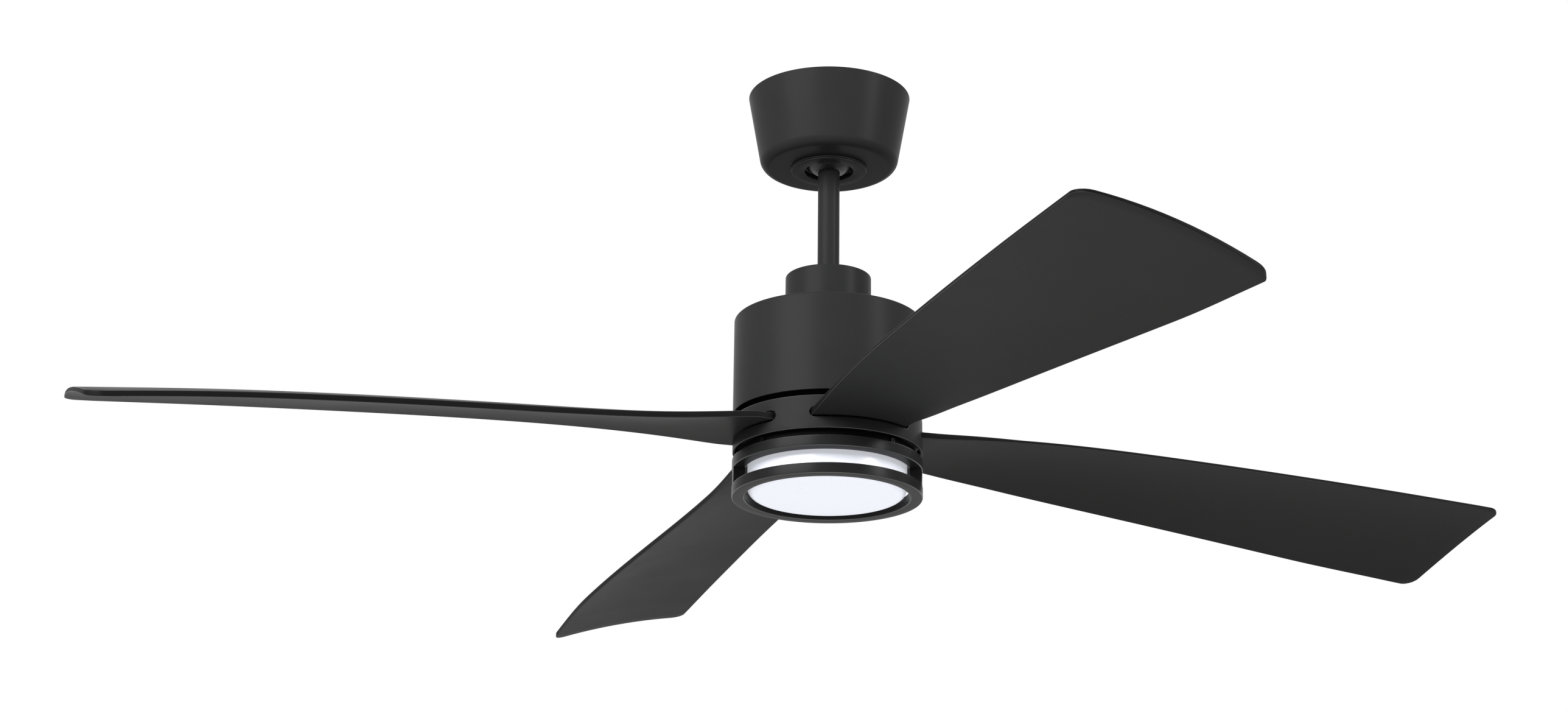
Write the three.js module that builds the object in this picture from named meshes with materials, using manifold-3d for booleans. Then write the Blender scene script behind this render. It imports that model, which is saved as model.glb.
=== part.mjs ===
// A four-blade ceiling fan with a flat round light under it, hung from a short downrod.
// Millimetres, +Z up. The origin is the centre of the ceiling plane, so the fan lies below it.

import * as THREE from 'three';
import { mergeVertices } from 'three/addons/utils/BufferGeometryUtils.js';
import Module from 'manifold-3d';

const wasm = await Module();
wasm.setup();

// Clearances shared by every piece
const seatGap = 0.3; // between pieces that rest on or in each other
const turningGap = 0.6; // between a turning piece and a fixed one
const cutOverrun = 5; // how far a cut runs past the face that it opens
const weldDistance = 0.001; // corners nearer than this are one corner

// Ceiling canopy: a cone with a soft lower edge
const canopyHeight = 74;
const canopyTopRadius = 80;
const canopyLowRadius = 66.8; // where the cone would meet the flat underside
const canopyEdgeFillet = 10;
const canopyWall = 1.5;
const canopyHoleInset = 4.3; // from the circle of the canopy screws

// Trim ring that covers the canopy screws
const trimHoleInset = 2.7; // inside the canopy's hole
const trimHeight = 3.2;
const trimStepWidth = 0.6;
const trimStepHeight = 1.6;
const trimRimWidth = 3; // solid rim on each side of the groove for the screw heads
const trimSpare = 0.1; // between a screw head and the groove's outer side

// Canopy screws, upwards into the hanger bracket
const canopyScrewInset = 6.7; // from the outside of the bracket's socket
const canopyScrewRadius = 1.8;
const canopyScrewLength = 9;
const canopyScrewHeadRadius = 3;
const canopyScrewHeadHeight = 1.4;

// Hanger bracket: a plate on the outlet box, two legs and a socket for the ball
const plateEndMargin = 4.55; // from a box slot to the plate's end
const plateThickness = 2.5;
const legWidth = 36;
const legThickness = 2.5;
const socketWall = 8; // outside the ball's largest circle
const socketHeight = 14;
const socketMouthSpare = 3; // how much wider the socket's mouth is than the rod
const boxScrewSpacing = 88.9;
const boxSlotWidth = 5;
const boxSlotLength = 12;
const wireHoleRadius = 8;
const wireHoleOffset = 26;

// Radio receiver under the bracket plate
const receiverLength = 88;
const receiverWidth = 34;
const receiverHeight = 20;
const receiverCorner = 4;

// Hanger ball
const ballRadius = 30;
const ballInset = 4.3; // of the ball in the trim ring's hole, level with the canopy's underside
const ballEndWidth = 1.6; // flat end round the bore
const ballCrownHeight = 16; // flat top above the ball's centre
const ballKeyWidth = 4.4;
const ballKeyDepth = 2.8;
const ballPinRadius = 3;
const ballPinHeight = 6;
const ballPinInset = 2;
const ballScrewRadius = 2.5;
const ballScrewHeight = 11;

// Downrod, a half-inch pipe
const rodRadius = 10.65;
const rodWall = 2.2;
const rodShown = 115.2; // from the canopy's underside to the top of the coupling cover
const rodAboveBall = 5;

// Lead from the receiver to the motor, inside the rod and the shaft
const leadSpare = 0.7; // on each side of the lead
const leadPastRod = 36;

// Coupling cover, a shallow cap over the yoke
const coverRadius = 41.7;
const coverHeight = 45.6;
const coverWall = 1.2;
const coverFillet = 1.5;
const coverHoleSpare = 0.6;

// Yoke that takes the rod above and the motor shaft below
const yokeRadius = 17;
const yokeHeadroom = 4.4; // under the coupling cover's top
const yokeRodDepth = 28;
const yokeFlangeRadius = 34;
const yokeFlangeThickness = 4.5;
const yokeBossRadius = 14;
const yokeBossLength = 9;
const yokeShaftDepth = 22;
const yokePassageRadius = 6;
const yokePinRadius = 3;
const yokePinDepth = 10; // below the yoke's top
const yokePinHeadRadius = 4.5;
const yokePinHeadLength = 2;
const yokePinTail = 7; // past the yoke's side
const clipWireRadius = 0.8;
const clipHeight = 16;
const yokeScrewRadius = 2.5;
const yokeScrewDepth = 20;
const yokeScrewHeadRadius = 4;
const yokeScrewHeadHeight = 3;

// Motor housing, a drum open underneath; the rotor ring and the light cage share its radius
const drumRadius = 90.8;
const housingHeight = 95.9;
const housingWall = 1.5;
const housingFillet = 2;
const housingScrewCount = 3;
const housingScrewInset = 7; // from the rim of the yoke's flange
const housingScrewRadius = 2;
const housingScrewHeadRadius = 3.8;
const housingScrewHeadHeight = 2.4;

// Rotor ring with one slot for each blade
const ringGap = 5.7; // from the housing's lower edge
const ringHeight = 31.8;
const ringWall = 2;
const ringFillet = 0.7;
const slotHeight = 10.7;
const slotEndSpare = 2; // beyond the blade's wider edge
const earWidth = 12;
const earReach = 11;
const earThickness = 3.5;
const ringScrewRadius = 1.5;
const ringScrewHeadRadius = 3;
const ringScrewHeadHeight = 1.8;

// Carrier plate between the motor and the blade roots
const carrierInset = 10.5; // inside the motor case
const carrierThickness = 4;
const carrierHoleRadius = 20;
const carrierArmWidth = 14;
const carrierRimGap = 1.2; // from the rotor ring's wall

// Motor: a fixed shaft and stator inside a turning case
const shaftRadius = 7.5;
const shaftBore = 4.5;
const shaftStudRadius = 6;
const motorSpace = 12.8; // from the turning case to the housing's wall
const caseHeight = 56;
const caseWall = 2.5;
const caseBossWall = 3.5; // round a bearing
const caseLip = 1.5;
const caseEyeRadius = 12;
const bearingRadius = 17.5;
const bearingWidth = 11;
const bearingGrooveWidth = 4.5;
const bearingGrooveDepth = 0.8;
const coreHeight = 16;
const coreToothCount = 12;
const coreSlotWidth = 9;
const coreHubRadius = 30;
const windingHubOffset = 4; // from the core's hub to the windings
const windingInset = 5; // from the windings to the core's rim
const windingHeadHeight = 5;
const magnetWall = 7.5;
const magnetSeatGap = 0.9; // between the magnet ring and the case's wall
const magnetHeight = 18;

// Blades: one moulding each, level in its slot, then twisted, drooping and swept forwards
const bladeCount = 4;
const bladeFirstAngle = 23.6; // degrees from +X
const bladeTipRadius = 701;
const bladeRootMargin = 9; // from the screws to the root's inner end
const bladeRootNarrowing = 9; // the root's inner half width is this much less than its radius
const bladeRootThickness = 6.2;
const bladeSlotInset = 16.8; // the edges cross the ring this far inside the drum's radius
const bladeSlotLeading = 49;
const bladeSlotTrailing = 47.5;
const bladeWaistTrailing = 45;
const bladeBellyTrailing = 54.5;
const bladeTipTrailing = 46;
const bladeMidLeading = 84;
const bladeTipLeading = 114;
const bladeWaistShare = 0.2; // places of the waist, middle and belly along the blade
const bladeMidShare = 0.52;
const bladeBellyShare = 0.76;
const bladeLeadingThickness = 3.3;
const bladeTrailingThickness = 6.2;
const bladeTipThicknessShare = 0.88;
const bladeDroop = 39;
const bladeDroopCurveShare = 0.42;
const bladePitch = 12.6; // degrees
const bladeTipTwist = 2.5; // degrees more at the tip
const bladeTwistLength = 85;
const bladeTwistPower = 1.2;
const bladeTipTwistPower = 4;
const bladeCamber = 6;
const bladeTipBulge = 5;
const bladeTipCorner = 14;
const bladeScrewRadius = 2.2;
const bladeScrewHeadRadius = 4.2;
const bladeScrewHeadHeight = 2.4;
const bladeScrewInset = 21.5; // from the motor case's radius, along the blade
const bladeScrewOffsetShare = 0.57; // of the root's half width, to each side

// Light cage: two rings joined by two posts, with a neck over the light tray
const cageGap = 6.6; // from the rotor ring's lower edge
const cageUpperHeight = 10.8;
const cageWindowHeight = 15.6;
const cageLowerHeight = 10.6;
const cageThickness = 12;
const cageFillet = 1.1;
const cagePostHalfAngle = 11; // degrees
const cageNeckHeight = 7.6;
const cageNeckWall = 2;
const cageLipWidth = 2.2;
const cageLipHeight = 2;
const cageLipAngle = 30; // degrees
const cageShoulderWidth = 3.2; // under the light tray's rim
const cageScrewCount = 4;
const cageScrewFirstAngle = 45; // degrees
const cageScrewRadius = 1.4;
const cageScrewLength = 4.6;
const cageScrewHeadRadius = 2.7;
const cageScrewHeadHeight = 1.7;

// Light tray on the end of the shaft, with the driver on it and the lamp board under it
const trayRecess = 0.9; // below the top of the cage
const traySheet = 1.5;
const trayRimHeight = 9;
const nutFlatRadius = 8.5;
const nutHeight = 6;
const driverLength = 62;
const driverWidth = 26;
const driverHeight = 12;
const driverCorner = 3;
const driverOffset = 25;
const boardInset = 6; // from the diffuser's inside
const boardThickness = 1.6;
const boardHoleSpare = 5.5; // round the shaft nut
const boardScrewCount = 3;
const boardScrewFirstAngle = 30; // degrees
const boardScrewInset = 18; // from the board's rim
const boardScrewRadius = 1.5;
const boardScrewHeadRadius = 2.8;
const boardScrewHeadHeight = 1.8;

// Opal diffuser, held by three lugs on the lips of the cage
const diffuserSpare = 2.8; // between the cage's rings and the diffuser
const diffuserWall = 2;
const diffuserEdgeRadius = 9;
const diffuserRecess = 1.8; // above the cage's lowest edge
const diffuserLugAngle = 20; // degrees
const diffuserLugHeight = 2;
const diffuserRimHeight = 0.6; // above the lugs
const lugCount = 3;
const lugFirstAngle = 90; // degrees

// How finely round shapes are cut
const drumSides = 36;
const ballSides = 24;
const motorSides = 24;
const tubeSides = 16;
const screwSides = 8;
const hexagonSides = 6;
const wireSides = 3; // per half turn of a thin wire's section
const wireSteps = 14;
const softFillet = 3; // fillets from this size up are cut in more steps
const softFilletSteps = 3;
const sharpFilletSteps = 1;

// Heights of the faces that pieces share, from the ceiling down
const canopyBottom = -canopyHeight;
const coverTop = canopyBottom - rodShown;
const housingTop = coverTop - coverHeight - seatGap;
const housingBottom = housingTop - housingHeight;
const ringTop = housingBottom - ringGap;
const ringBottom = ringTop - ringHeight;
const slotMiddle = (ringTop + ringBottom) / 2;
const cageTop = ringBottom - cageGap;
const cageUpperBottom = cageTop - cageUpperHeight;
const cageLowerTop = cageUpperBottom - cageWindowHeight;
const cageBottom = cageLowerTop - cageLowerHeight;
const trayTop = cageTop - trayRecess;
const trayBottom = trayTop - traySheet;
const socketBottom = canopyBottom + canopyWall + seatGap;
const yokeTop = coverTop - coverWall - yokeHeadroom;
const yokeFlangeTop = housingTop - housingWall - seatGap;
const yokeBottom = yokeFlangeTop - yokeFlangeThickness - yokeBossLength;
const shaftTop = yokeBottom + yokeShaftDepth;
const rodBottom = yokeTop - yokeRodDepth;
const bladeRootTop = slotMiddle + bladeRootThickness / 2;
const bladeRootBottom = slotMiddle - bladeRootThickness / 2;
const carrierBottom = bladeRootTop + seatGap;
const carrierTop = carrierBottom + carrierThickness;
const caseBottom = carrierTop + seatGap;
const caseTop = caseBottom + caseHeight;
const caseMiddle = (caseTop + caseBottom) / 2;
const pinHeight = yokeTop - yokePinDepth;

// Radii and places round the hanger ball, each from the piece outside it
const socketRadius = ballRadius + socketWall;
const canopyScrewCircle = socketRadius - canopyScrewInset;
const canopyHoleRadius = canopyScrewCircle - canopyHoleInset;
const trimHoleRadius = canopyHoleRadius - trimHoleInset;
const trimRadius = canopyScrewCircle + canopyScrewHeadRadius + trimSpare + trimRimWidth;
const ballLevelRadius = trimHoleRadius - ballInset;
const ballCentre = canopyBottom + Math.sqrt(ballRadius ** 2 - ballLevelRadius ** 2);
const rodTop = ballCentre + ballCrownHeight + rodAboveBall;
const plateLength = boxScrewSpacing + boxSlotLength + 2 * plateEndMargin;

// Radii that the other pieces share
const rodBore = rodRadius + seatGap;
const rodInside = rodRadius - rodWall;
const leadRadius = (rodInside - Math.max(ballPinRadius, yokePinRadius)) / 2 - leadSpare;
const shaftFit = shaftRadius + seatGap;
const housingScrewCircle = yokeFlangeRadius - housingScrewInset;
const caseRadius = drumRadius - housingWall - motorSpace;
const magnetRadius = caseRadius - caseWall - magnetSeatGap;
const magnetInside = magnetRadius - magnetWall;
const coreRadius = magnetInside * Math.cos(Math.PI / motorSides) - turningGap;
const windingInnerRadius = coreHubRadius + windingHubOffset;
const windingOuterRadius = coreRadius - windingInset;
const ringInside = drumRadius - ringWall;
const slotHalfWidth = Math.max(bladeSlotLeading, bladeSlotTrailing) + slotEndSpare;
const bladeSlotRadius = drumRadius - bladeSlotInset;
const bladeScrewPlace = caseRadius - bladeScrewInset;
const bladeRootRadius = bladeScrewPlace - bladeRootMargin;
const bladeRootHalfWidth = bladeRootRadius - bladeRootNarrowing;
const bladeScrewOffset = bladeRootHalfWidth * bladeScrewOffsetShare;
const cageInside = drumRadius - cageThickness;
const diffuserRadius = cageInside - diffuserSpare;
const boardRadius = diffuserRadius - diffuserWall - boardInset;
const boardScrewCircle = boardRadius - boardScrewInset;
const trayRadius = cageInside + cageShoulderWidth;
const neckInside = trayRadius + seatGap;
const neckOutside = neckInside + cageNeckWall;

const radians = THREE.MathUtils.degToRad;
const point = (x, y, z) => new THREE.Vector3(x, y, z);

// Any closed three.js geometry as a solid with its faces outwards
function solidFrom(geometry) {
  geometry.deleteAttribute('normal');
  geometry.deleteAttribute('uv');
  const merged = mergeVertices(geometry, weldDistance);
  const corners = merged.attributes.position;
  const all = merged.index.array;
  const triangles = [];
  let volume = 0;
  for (let i = 0; i < all.length; i += 3) {
    const [a, b, c] = [all[i], all[i + 1], all[i + 2]];
    if (a === b || b === c || c === a) continue;
    triangles.push(a, b, c);
    const [p, q, r] = [a, b, c].map((n) => new THREE.Vector3().fromBufferAttribute(corners, n));
    volume += p.dot(q.cross(r));
  }
  if (volume < 0) triangles.reverse();
  return new wasm.Manifold(new wasm.Mesh({
    numProp: 3,
    vertProperties: new Float32Array(corners.array),
    triVerts: new Uint32Array(triangles),
  }));
}

const cut = (solid, ...tools) => tools.reduce((rest, tool) => rest.subtract(tool), solid);
const join = (...solids) => solids.reduce((whole, solid) => whole.add(solid));

// A closed outline through corners [x, y, fillet], with an arc wherever a fillet is given
function outline(corners) {
  const points = [];
  corners.forEach(([x, y, fillet = 0], i) => {
    const corner = new THREE.Vector2(x, y);
    if (fillet === 0) {
      points.push(corner);
      return;
    }
    const back = new THREE.Vector2(...corners.at(i - 1)).sub(corner).normalize();
    const onward = new THREE.Vector2(...corners[(i + 1) % corners.length]).sub(corner).normalize();
    const half = Math.acos(back.dot(onward)) / 2;
    const middle = back.clone().add(onward).normalize();
    const centre = corner.clone().addScaledVector(middle, fillet / Math.sin(half));
    const start = corner.clone().addScaledVector(back, fillet / Math.tan(half)).sub(centre);
    const end = corner.clone().addScaledVector(onward, fillet / Math.tan(half)).sub(centre);
    const turn = Math.atan2(start.cross(end), start.dot(end));
    const steps = fillet < softFillet ? sharpFilletSteps : softFilletSteps;
    for (let k = 0; k <= steps; k += 1) {
      const spoke = start.clone().rotateAround(new THREE.Vector2(), (turn * k) / steps);
      points.push(spoke.add(centre));
    }
  });
  return points;
}

// Corners [radius, height, fillet] turned about Z
function turned(corners, sides = drumSides) {
  const points = outline(corners);
  return solidFrom(new THREE.LatheGeometry([...points, points[0]], sides).rotateX(Math.PI / 2));
}

// A straight round bar between two points
function bar(radius, from, to, sides = tubeSides) {
  const along = to.clone().sub(from);
  const geometry = new THREE.CylinderGeometry(radius, radius, along.length(), sides);
  const turn = new THREE.Quaternion().setFromUnitVectors(point(0, 1, 0), along.normalize());
  geometry.applyQuaternion(turn);
  const middle = from.clone().add(to).divideScalar(2);
  return solidFrom(geometry.translate(middle.x, middle.y, middle.z));
}

const upright = (radius, bottom, top, sides) => bar(radius, point(0, 0, bottom), point(0, 0, top), sides);

const uprightAt = (radius, x, y, bottom, top, sides = screwSides) =>
  bar(radius, point(x, y, bottom), point(x, y, top), sides);

// A block between two opposite corners
function block(low, high) {
  const size = high.clone().sub(low);
  const middle = low.clone().add(high).divideScalar(2);
  return solidFrom(new THREE.BoxGeometry(...size).translate(...middle));
}

// Corners [x, y, fillet] raised from one height to another
function raised(corners, bottom, top) {
  const geometry = new THREE.ExtrudeGeometry(new THREE.Shape(outline(corners)), {
    depth: top - bottom,
    bevelEnabled: false,
  });
  return solidFrom(geometry.translate(0, 0, bottom));
}

const rectangle = (halfX, halfY, fillet = 0) =>
  [[-halfX, -halfY, fillet], [halfX, -halfY, fillet], [halfX, halfY, fillet], [-halfX, halfY, fillet]];

// A sector of a ring about Z, from one angle to another, in degrees
function sector(inner, outer, bottom, top, from, to) {
  const shape = new THREE.Shape();
  shape.absarc(0, 0, outer, radians(from), radians(to), false);
  shape.absarc(0, 0, inner, radians(to), radians(from), true);
  const geometry = new THREE.ExtrudeGeometry(shape, {
    depth: top - bottom,
    bevelEnabled: false,
    curveSegments: screwSides,
  });
  return solidFrom(geometry.translate(0, 0, bottom));
}

// A round wire along a curve through the points
function wire(points, radius) {
  const section = new THREE.Shape().absarc(0, 0, radius, 0, 2 * Math.PI, false);
  const geometry = new THREE.ExtrudeGeometry(section, {
    steps: wireSteps,
    curveSegments: wireSides,
    extrudePath: new THREE.CatmullRomCurve3(points),
  });
  return solidFrom(geometry);
}

// A socket screw: its head sits on z = 0 and rises, its shank goes down
function screw(headRadius, headHeight, shankRadius, shankLength) {
  const socketShare = 0.45;
  const head = upright(headRadius, 0, headHeight, screwSides);
  const shank = upright(shankRadius, -shankLength, headHeight / 2, screwSides);
  const socket = upright(headRadius * socketShare, headHeight / 2, headHeight + cutOverrun, hexagonSides);
  return cut(head.add(shank), socket);
}

// A smooth function through [place, value] pairs, with level-headed slopes between them
function smoothThrough(pairs) {
  const slope = (i) => {
    const before = pairs[Math.max(i - 1, 0)];
    const after = pairs[Math.min(i + 1, pairs.length - 1)];
    return (after[1] - before[1]) / (after[0] - before[0]);
  };
  return (place) => {
    let i = 0;
    while (i < pairs.length - 2 && place > pairs[i + 1][0]) i += 1;
    const [x0, y0] = pairs[i];
    const [x1, y1] = pairs[i + 1];
    const span = x1 - x0;
    const s = THREE.MathUtils.clamp((place - x0) / span, 0, 1);
    return y0 * (1 + 2 * s) * (1 - s) ** 2 + slope(i) * span * s * (1 - s) ** 2
      + y1 * s * s * (3 - 2 * s) - slope(i + 1) * span * s * s * (1 - s);
  };
}

// Ceiling canopy: a spun cone, open at the ceiling, with a hole for the hanger ball
function canopySolid() {
  const slant = (canopyTopRadius - canopyLowRadius) / canopyHeight;
  const inner = (height) => canopyTopRadius + slant * height - canopyWall;
  const floor = canopyBottom + canopyWall;
  const shell = turned([
    [canopyTopRadius, 0],
    [canopyLowRadius, canopyBottom, canopyEdgeFillet],
    [canopyHoleRadius, canopyBottom],
    [canopyHoleRadius, floor],
    [inner(floor), floor, canopyEdgeFillet - canopyWall],
    [inner(0), 0],
  ]);
  const hole = (side) => uprightAt(canopyScrewRadius + seatGap, 0, side * canopyScrewCircle,
    canopyBottom - cutOverrun, floor + cutOverrun);
  return cut(shell, hole(1), hole(-1));
}

// Trim ring: a stepped ring with a hidden groove for the canopy screws
function trimRingSolid() {
  const top = canopyBottom - seatGap;
  const bottom = top - trimHeight;
  const groove = top - canopyScrewHeadHeight - 2 * seatGap;
  return turned([
    [trimHoleRadius, bottom],
    [trimRadius - trimStepWidth, bottom],
    [trimRadius - trimStepWidth, bottom + trimStepHeight],
    [trimRadius, bottom + trimStepHeight],
    [trimRadius, top],
    [trimRadius - trimRimWidth, top],
    [trimRadius - trimRimWidth, groove],
    [trimHoleRadius + trimRimWidth, groove],
    [trimHoleRadius + trimRimWidth, top],
    [trimHoleRadius, top],
  ]);
}

// Hanger bracket: plate, two legs and a socket ring that is open towards +X for the rod
function bracketSolid() {
  const legOutside = socketRadius + seatGap;
  const plate = raised(rectangle(plateLength / 2, legOutside, canopyEdgeFillet), -plateThickness, 0);
  const leg = (side) => {
    const [a, b] = [side * legOutside, side * (legOutside - legThickness)];
    return block(point(-legWidth / 2, Math.min(a, b), socketBottom),
      point(legWidth / 2, Math.max(a, b), -plateThickness / 2));
  };
  const socket = upright(socketRadius, socketBottom, socketBottom + socketHeight, drumSides);
  const seat = ballHollow(ballRadius + seatGap);
  const mouthHalf = rodRadius + socketMouthSpare;
  const mouth = block(
    point(0, -mouthHalf, socketBottom - cutOverrun),
    point(socketRadius + cutOverrun, mouthHalf, socketBottom + socketHeight + cutOverrun),
  );
  const key = block(
    point(-ballRadius - legThickness, -ballKeyWidth / 2, socketBottom + seatGap),
    point(0, ballKeyWidth / 2, socketBottom + socketHeight - seatGap),
  ).subtract(ballHollow(ballRadius - ballKeyDepth));
  const boxSlot = (side) => block(
    point(side * boxScrewSpacing / 2 - boxSlotLength / 2, -boxSlotWidth / 2, -plateThickness - cutOverrun),
    point(side * boxScrewSpacing / 2 + boxSlotLength / 2, boxSlotWidth / 2, cutOverrun),
  );
  const wireHole = (side) => uprightAt(wireHoleRadius, 0, side * wireHoleOffset,
    -plateThickness - cutOverrun, cutOverrun, tubeSides);
  const tapped = (side) => uprightAt(canopyScrewRadius + seatGap, 0, side * canopyScrewCircle,
    socketBottom - cutOverrun, socketBottom + canopyScrewLength);
  const ring = cut(join(socket, leg(1), leg(-1)), seat, mouth);
  const holes = [1, -1].flatMap((side) => [boxSlot(side), wireHole(side), tapped(side)]);
  return cut(join(plate, ring, key), ...holes);
}

// A ball about the point that the downrod swings on
function ball(radius) {
  const geometry = new THREE.SphereGeometry(radius, ballSides, ballSides / 2).rotateX(Math.PI / 2);
  return solidFrom(geometry.translate(0, 0, ballCentre));
}

// The same with its flats, not its corners, at the radius, for a hollow that a ball turns in
const ballHollow = (radius) => ball(radius / Math.cos(Math.PI / ballSides) ** 2);

function receiverSolid() {
  const top = -plateThickness - seatGap;
  const corners = rectangle(receiverLength / 2, receiverWidth / 2, receiverCorner);
  return raised(corners, top - receiverHeight, top);
}

// Hanger ball: flat above, bored for the rod, with a narrow end below and a groove for the bracket's key
function hangerBallSolid() {
  const box = (side, from, to) => block(point(-side, -side, from), point(side, side, to));
  const wide = ballRadius + cutOverrun;
  const above = box(wide, ballCentre + ballCrownHeight, ballCentre + wide);
  const end = ballCentre - Math.sqrt(ballRadius ** 2 - (rodBore + ballEndWidth) ** 2);
  const below = box(wide, ballCentre - wide, end);
  const bore = upright(rodBore, end - cutOverrun, ballCentre + wide);
  const groove = block(
    point(-wide, -ballKeyWidth / 2 - seatGap, ballCentre - wide),
    point(0, ballKeyWidth / 2 + seatGap, ballCentre + wide),
  ).subtract(ball(ballRadius - ballKeyDepth - seatGap));
  const pinHole = bar(ballPinRadius + seatGap, point(0, -wide, ballCentre + ballPinHeight),
    point(0, wide, ballCentre + ballPinHeight), screwSides);
  const screwHole = bar(ballScrewRadius + seatGap, point(0, 0, ballCentre + ballScrewHeight),
    point(wide, 0, ballCentre + ballScrewHeight), screwSides);
  return cut(ball(ballRadius), above, below, bore, groove, pinHole, screwHole);
}

function ballPinSolid() {
  const reach = Math.sqrt(ballRadius ** 2 - ballPinHeight ** 2) - ballPinInset;
  const height = ballCentre + ballPinHeight;
  return bar(ballPinRadius, point(0, -reach, height), point(0, reach, height), screwSides);
}

function ballScrewSolid() {
  const height = ballCentre + ballScrewHeight;
  const reach = Math.sqrt(ballRadius ** 2 - ballScrewHeight ** 2) - ballPinInset;
  const body = bar(ballScrewRadius, point(rodBore, 0, height), point(reach, 0, height), screwSides);
  const socket = bar(ballScrewRadius / 2, point(reach - ballScrewRadius, 0, height),
    point(reach + cutOverrun, 0, height), hexagonSides);
  return body.subtract(socket);
}

// Downrod: a pipe with a cross hole for each pin
function downrodSolid() {
  const pipe = turned([
    [rodRadius, rodBottom], [rodRadius, rodTop], [rodInside, rodTop], [rodInside, rodBottom],
  ], tubeSides);
  const crossHole = (radius, height) => bar(radius + seatGap,
    point(0, -rodRadius - cutOverrun, height), point(0, rodRadius + cutOverrun, height), screwSides);
  const ballPinPlace = ballCentre + ballPinHeight;
  return cut(pipe, crossHole(ballPinRadius, ballPinPlace), crossHole(yokePinRadius, pinHeight));
}

// Lead: down one side of the rod, past the pins, then through the middle of the shaft
function leadSolid() {
  const side = rodInside - leadRadius - leadSpare;
  const straight = pinHeight - yokePinRadius - leadRadius;
  return wire([
    point(side, 0, rodTop), point(side, 0, (rodTop + straight) / 2), point(side, 0, straight),
    point(side / 2, 0, rodBottom), point(0, 0, shaftTop), point(0, 0, rodBottom - leadPastRod),
  ], leadRadius);
}

// Coupling cover: a cap that slides on the rod and rests on the housing
function coverSolid() {
  const bottom = housingTop + seatGap;
  return turned([
    [coverRadius, bottom],
    [coverRadius, coverTop, coverFillet],
    [rodRadius + coverHoleSpare, coverTop],
    [rodRadius + coverHoleSpare, coverTop - coverWall],
    [coverRadius - coverWall, coverTop - coverWall],
    [coverRadius - coverWall, bottom],
  ]);
}

// Yoke: a collar for the rod, a flange under the housing's top and a boss for the shaft
function yokeSolid() {
  const flangeBottom = yokeFlangeTop - yokeFlangeThickness;
  const body = turned([
    [yokePassageRadius, rodBottom - seatGap],
    [rodBore, rodBottom - seatGap],
    [rodBore, yokeTop],
    [yokeRadius, yokeTop],
    [yokeRadius, yokeFlangeTop],
    [yokeFlangeRadius, yokeFlangeTop],
    [yokeFlangeRadius, flangeBottom],
    [yokeBossRadius, flangeBottom],
    [yokeBossRadius, yokeBottom],
    [shaftFit, yokeBottom],
    [shaftFit, shaftTop + seatGap],
    [yokePassageRadius, shaftTop + seatGap],
  ], tubeSides);
  const pinHole = bar(yokePinRadius + seatGap, point(0, -yokeRadius - cutOverrun, pinHeight),
    point(0, yokeRadius + cutOverrun, pinHeight), screwSides);
  const screwHeight = yokeTop - yokeScrewDepth;
  const screwHole = bar(yokeScrewRadius + seatGap, point(0, 0, screwHeight),
    point(yokeRadius + cutOverrun, 0, screwHeight), screwSides);
  const flangeHoles = around(housingScrewCount, 0).map((angle) => {
    const [x, y] = onCircle(housingScrewCircle, angle);
    return uprightAt(housingScrewRadius + seatGap, x, y,
      flangeBottom - cutOverrun, yokeFlangeTop + cutOverrun);
  });
  return cut(body, pinHole, screwHole, ...flangeHoles);
}

const around = (count, first) => Array.from({ length: count }, (_, i) => first + (360 / count) * i);
const onCircle = (radius, angle) => [radius * Math.cos(radians(angle)), radius * Math.sin(radians(angle))];

// Where the hairpin clip crosses the yoke pin's tail
const clipPlace = yokeRadius + yokePinTail / 2;
const pinEnd = yokeRadius + yokePinTail;

function yokePinSolid() {
  const headFrom = -yokeRadius - seatGap;
  const shankFrom = headFrom - yokePinHeadLength / 2;
  const shank = bar(yokePinRadius, point(0, shankFrom, pinHeight), point(0, pinEnd, pinHeight), screwSides);
  const head = bar(yokePinHeadRadius, point(0, headFrom - yokePinHeadLength, pinHeight),
    point(0, headFrom, pinHeight), screwSides);
  const hole = uprightAt(clipWireRadius + seatGap, 0, clipPlace,
    pinHeight - yokePinRadius - cutOverrun, pinHeight + yokePinRadius + cutOverrun);
  return cut(head.add(shank), hole);
}

// Hairpin clip: a straight leg through the pin and a sprung leg past its end
function yokeClipSolid() {
  const flareShare = 0.75; // of a leg's length
  const leg = clipHeight / 2;
  const outside = pinEnd + clipWireRadius + seatGap;
  const bow = (clipPlace + outside) / 2;
  const flare = outside + clipWireRadius;
  return wire([
    point(0, clipPlace, pinHeight - leg),
    point(0, clipPlace, pinHeight),
    point(0, clipPlace, pinHeight + leg),
    point(0, bow, pinHeight + leg + outside - bow),
    point(0, flare, pinHeight + leg),
    point(0, outside, pinHeight),
    point(0, flare, pinHeight - leg * flareShare),
  ], clipWireRadius);
}

function yokeScrewSolid() {
  const height = yokeTop - yokeScrewDepth;
  const headFrom = yokeRadius + seatGap;
  const shankTo = headFrom + yokeScrewHeadHeight / 2;
  const shank = bar(yokeScrewRadius, point(rodBore, 0, height), point(shankTo, 0, height), screwSides);
  const head = bar(yokeScrewHeadRadius, point(headFrom, 0, height),
    point(headFrom + yokeScrewHeadHeight, 0, height), hexagonSides);
  return head.add(shank);
}

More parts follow.
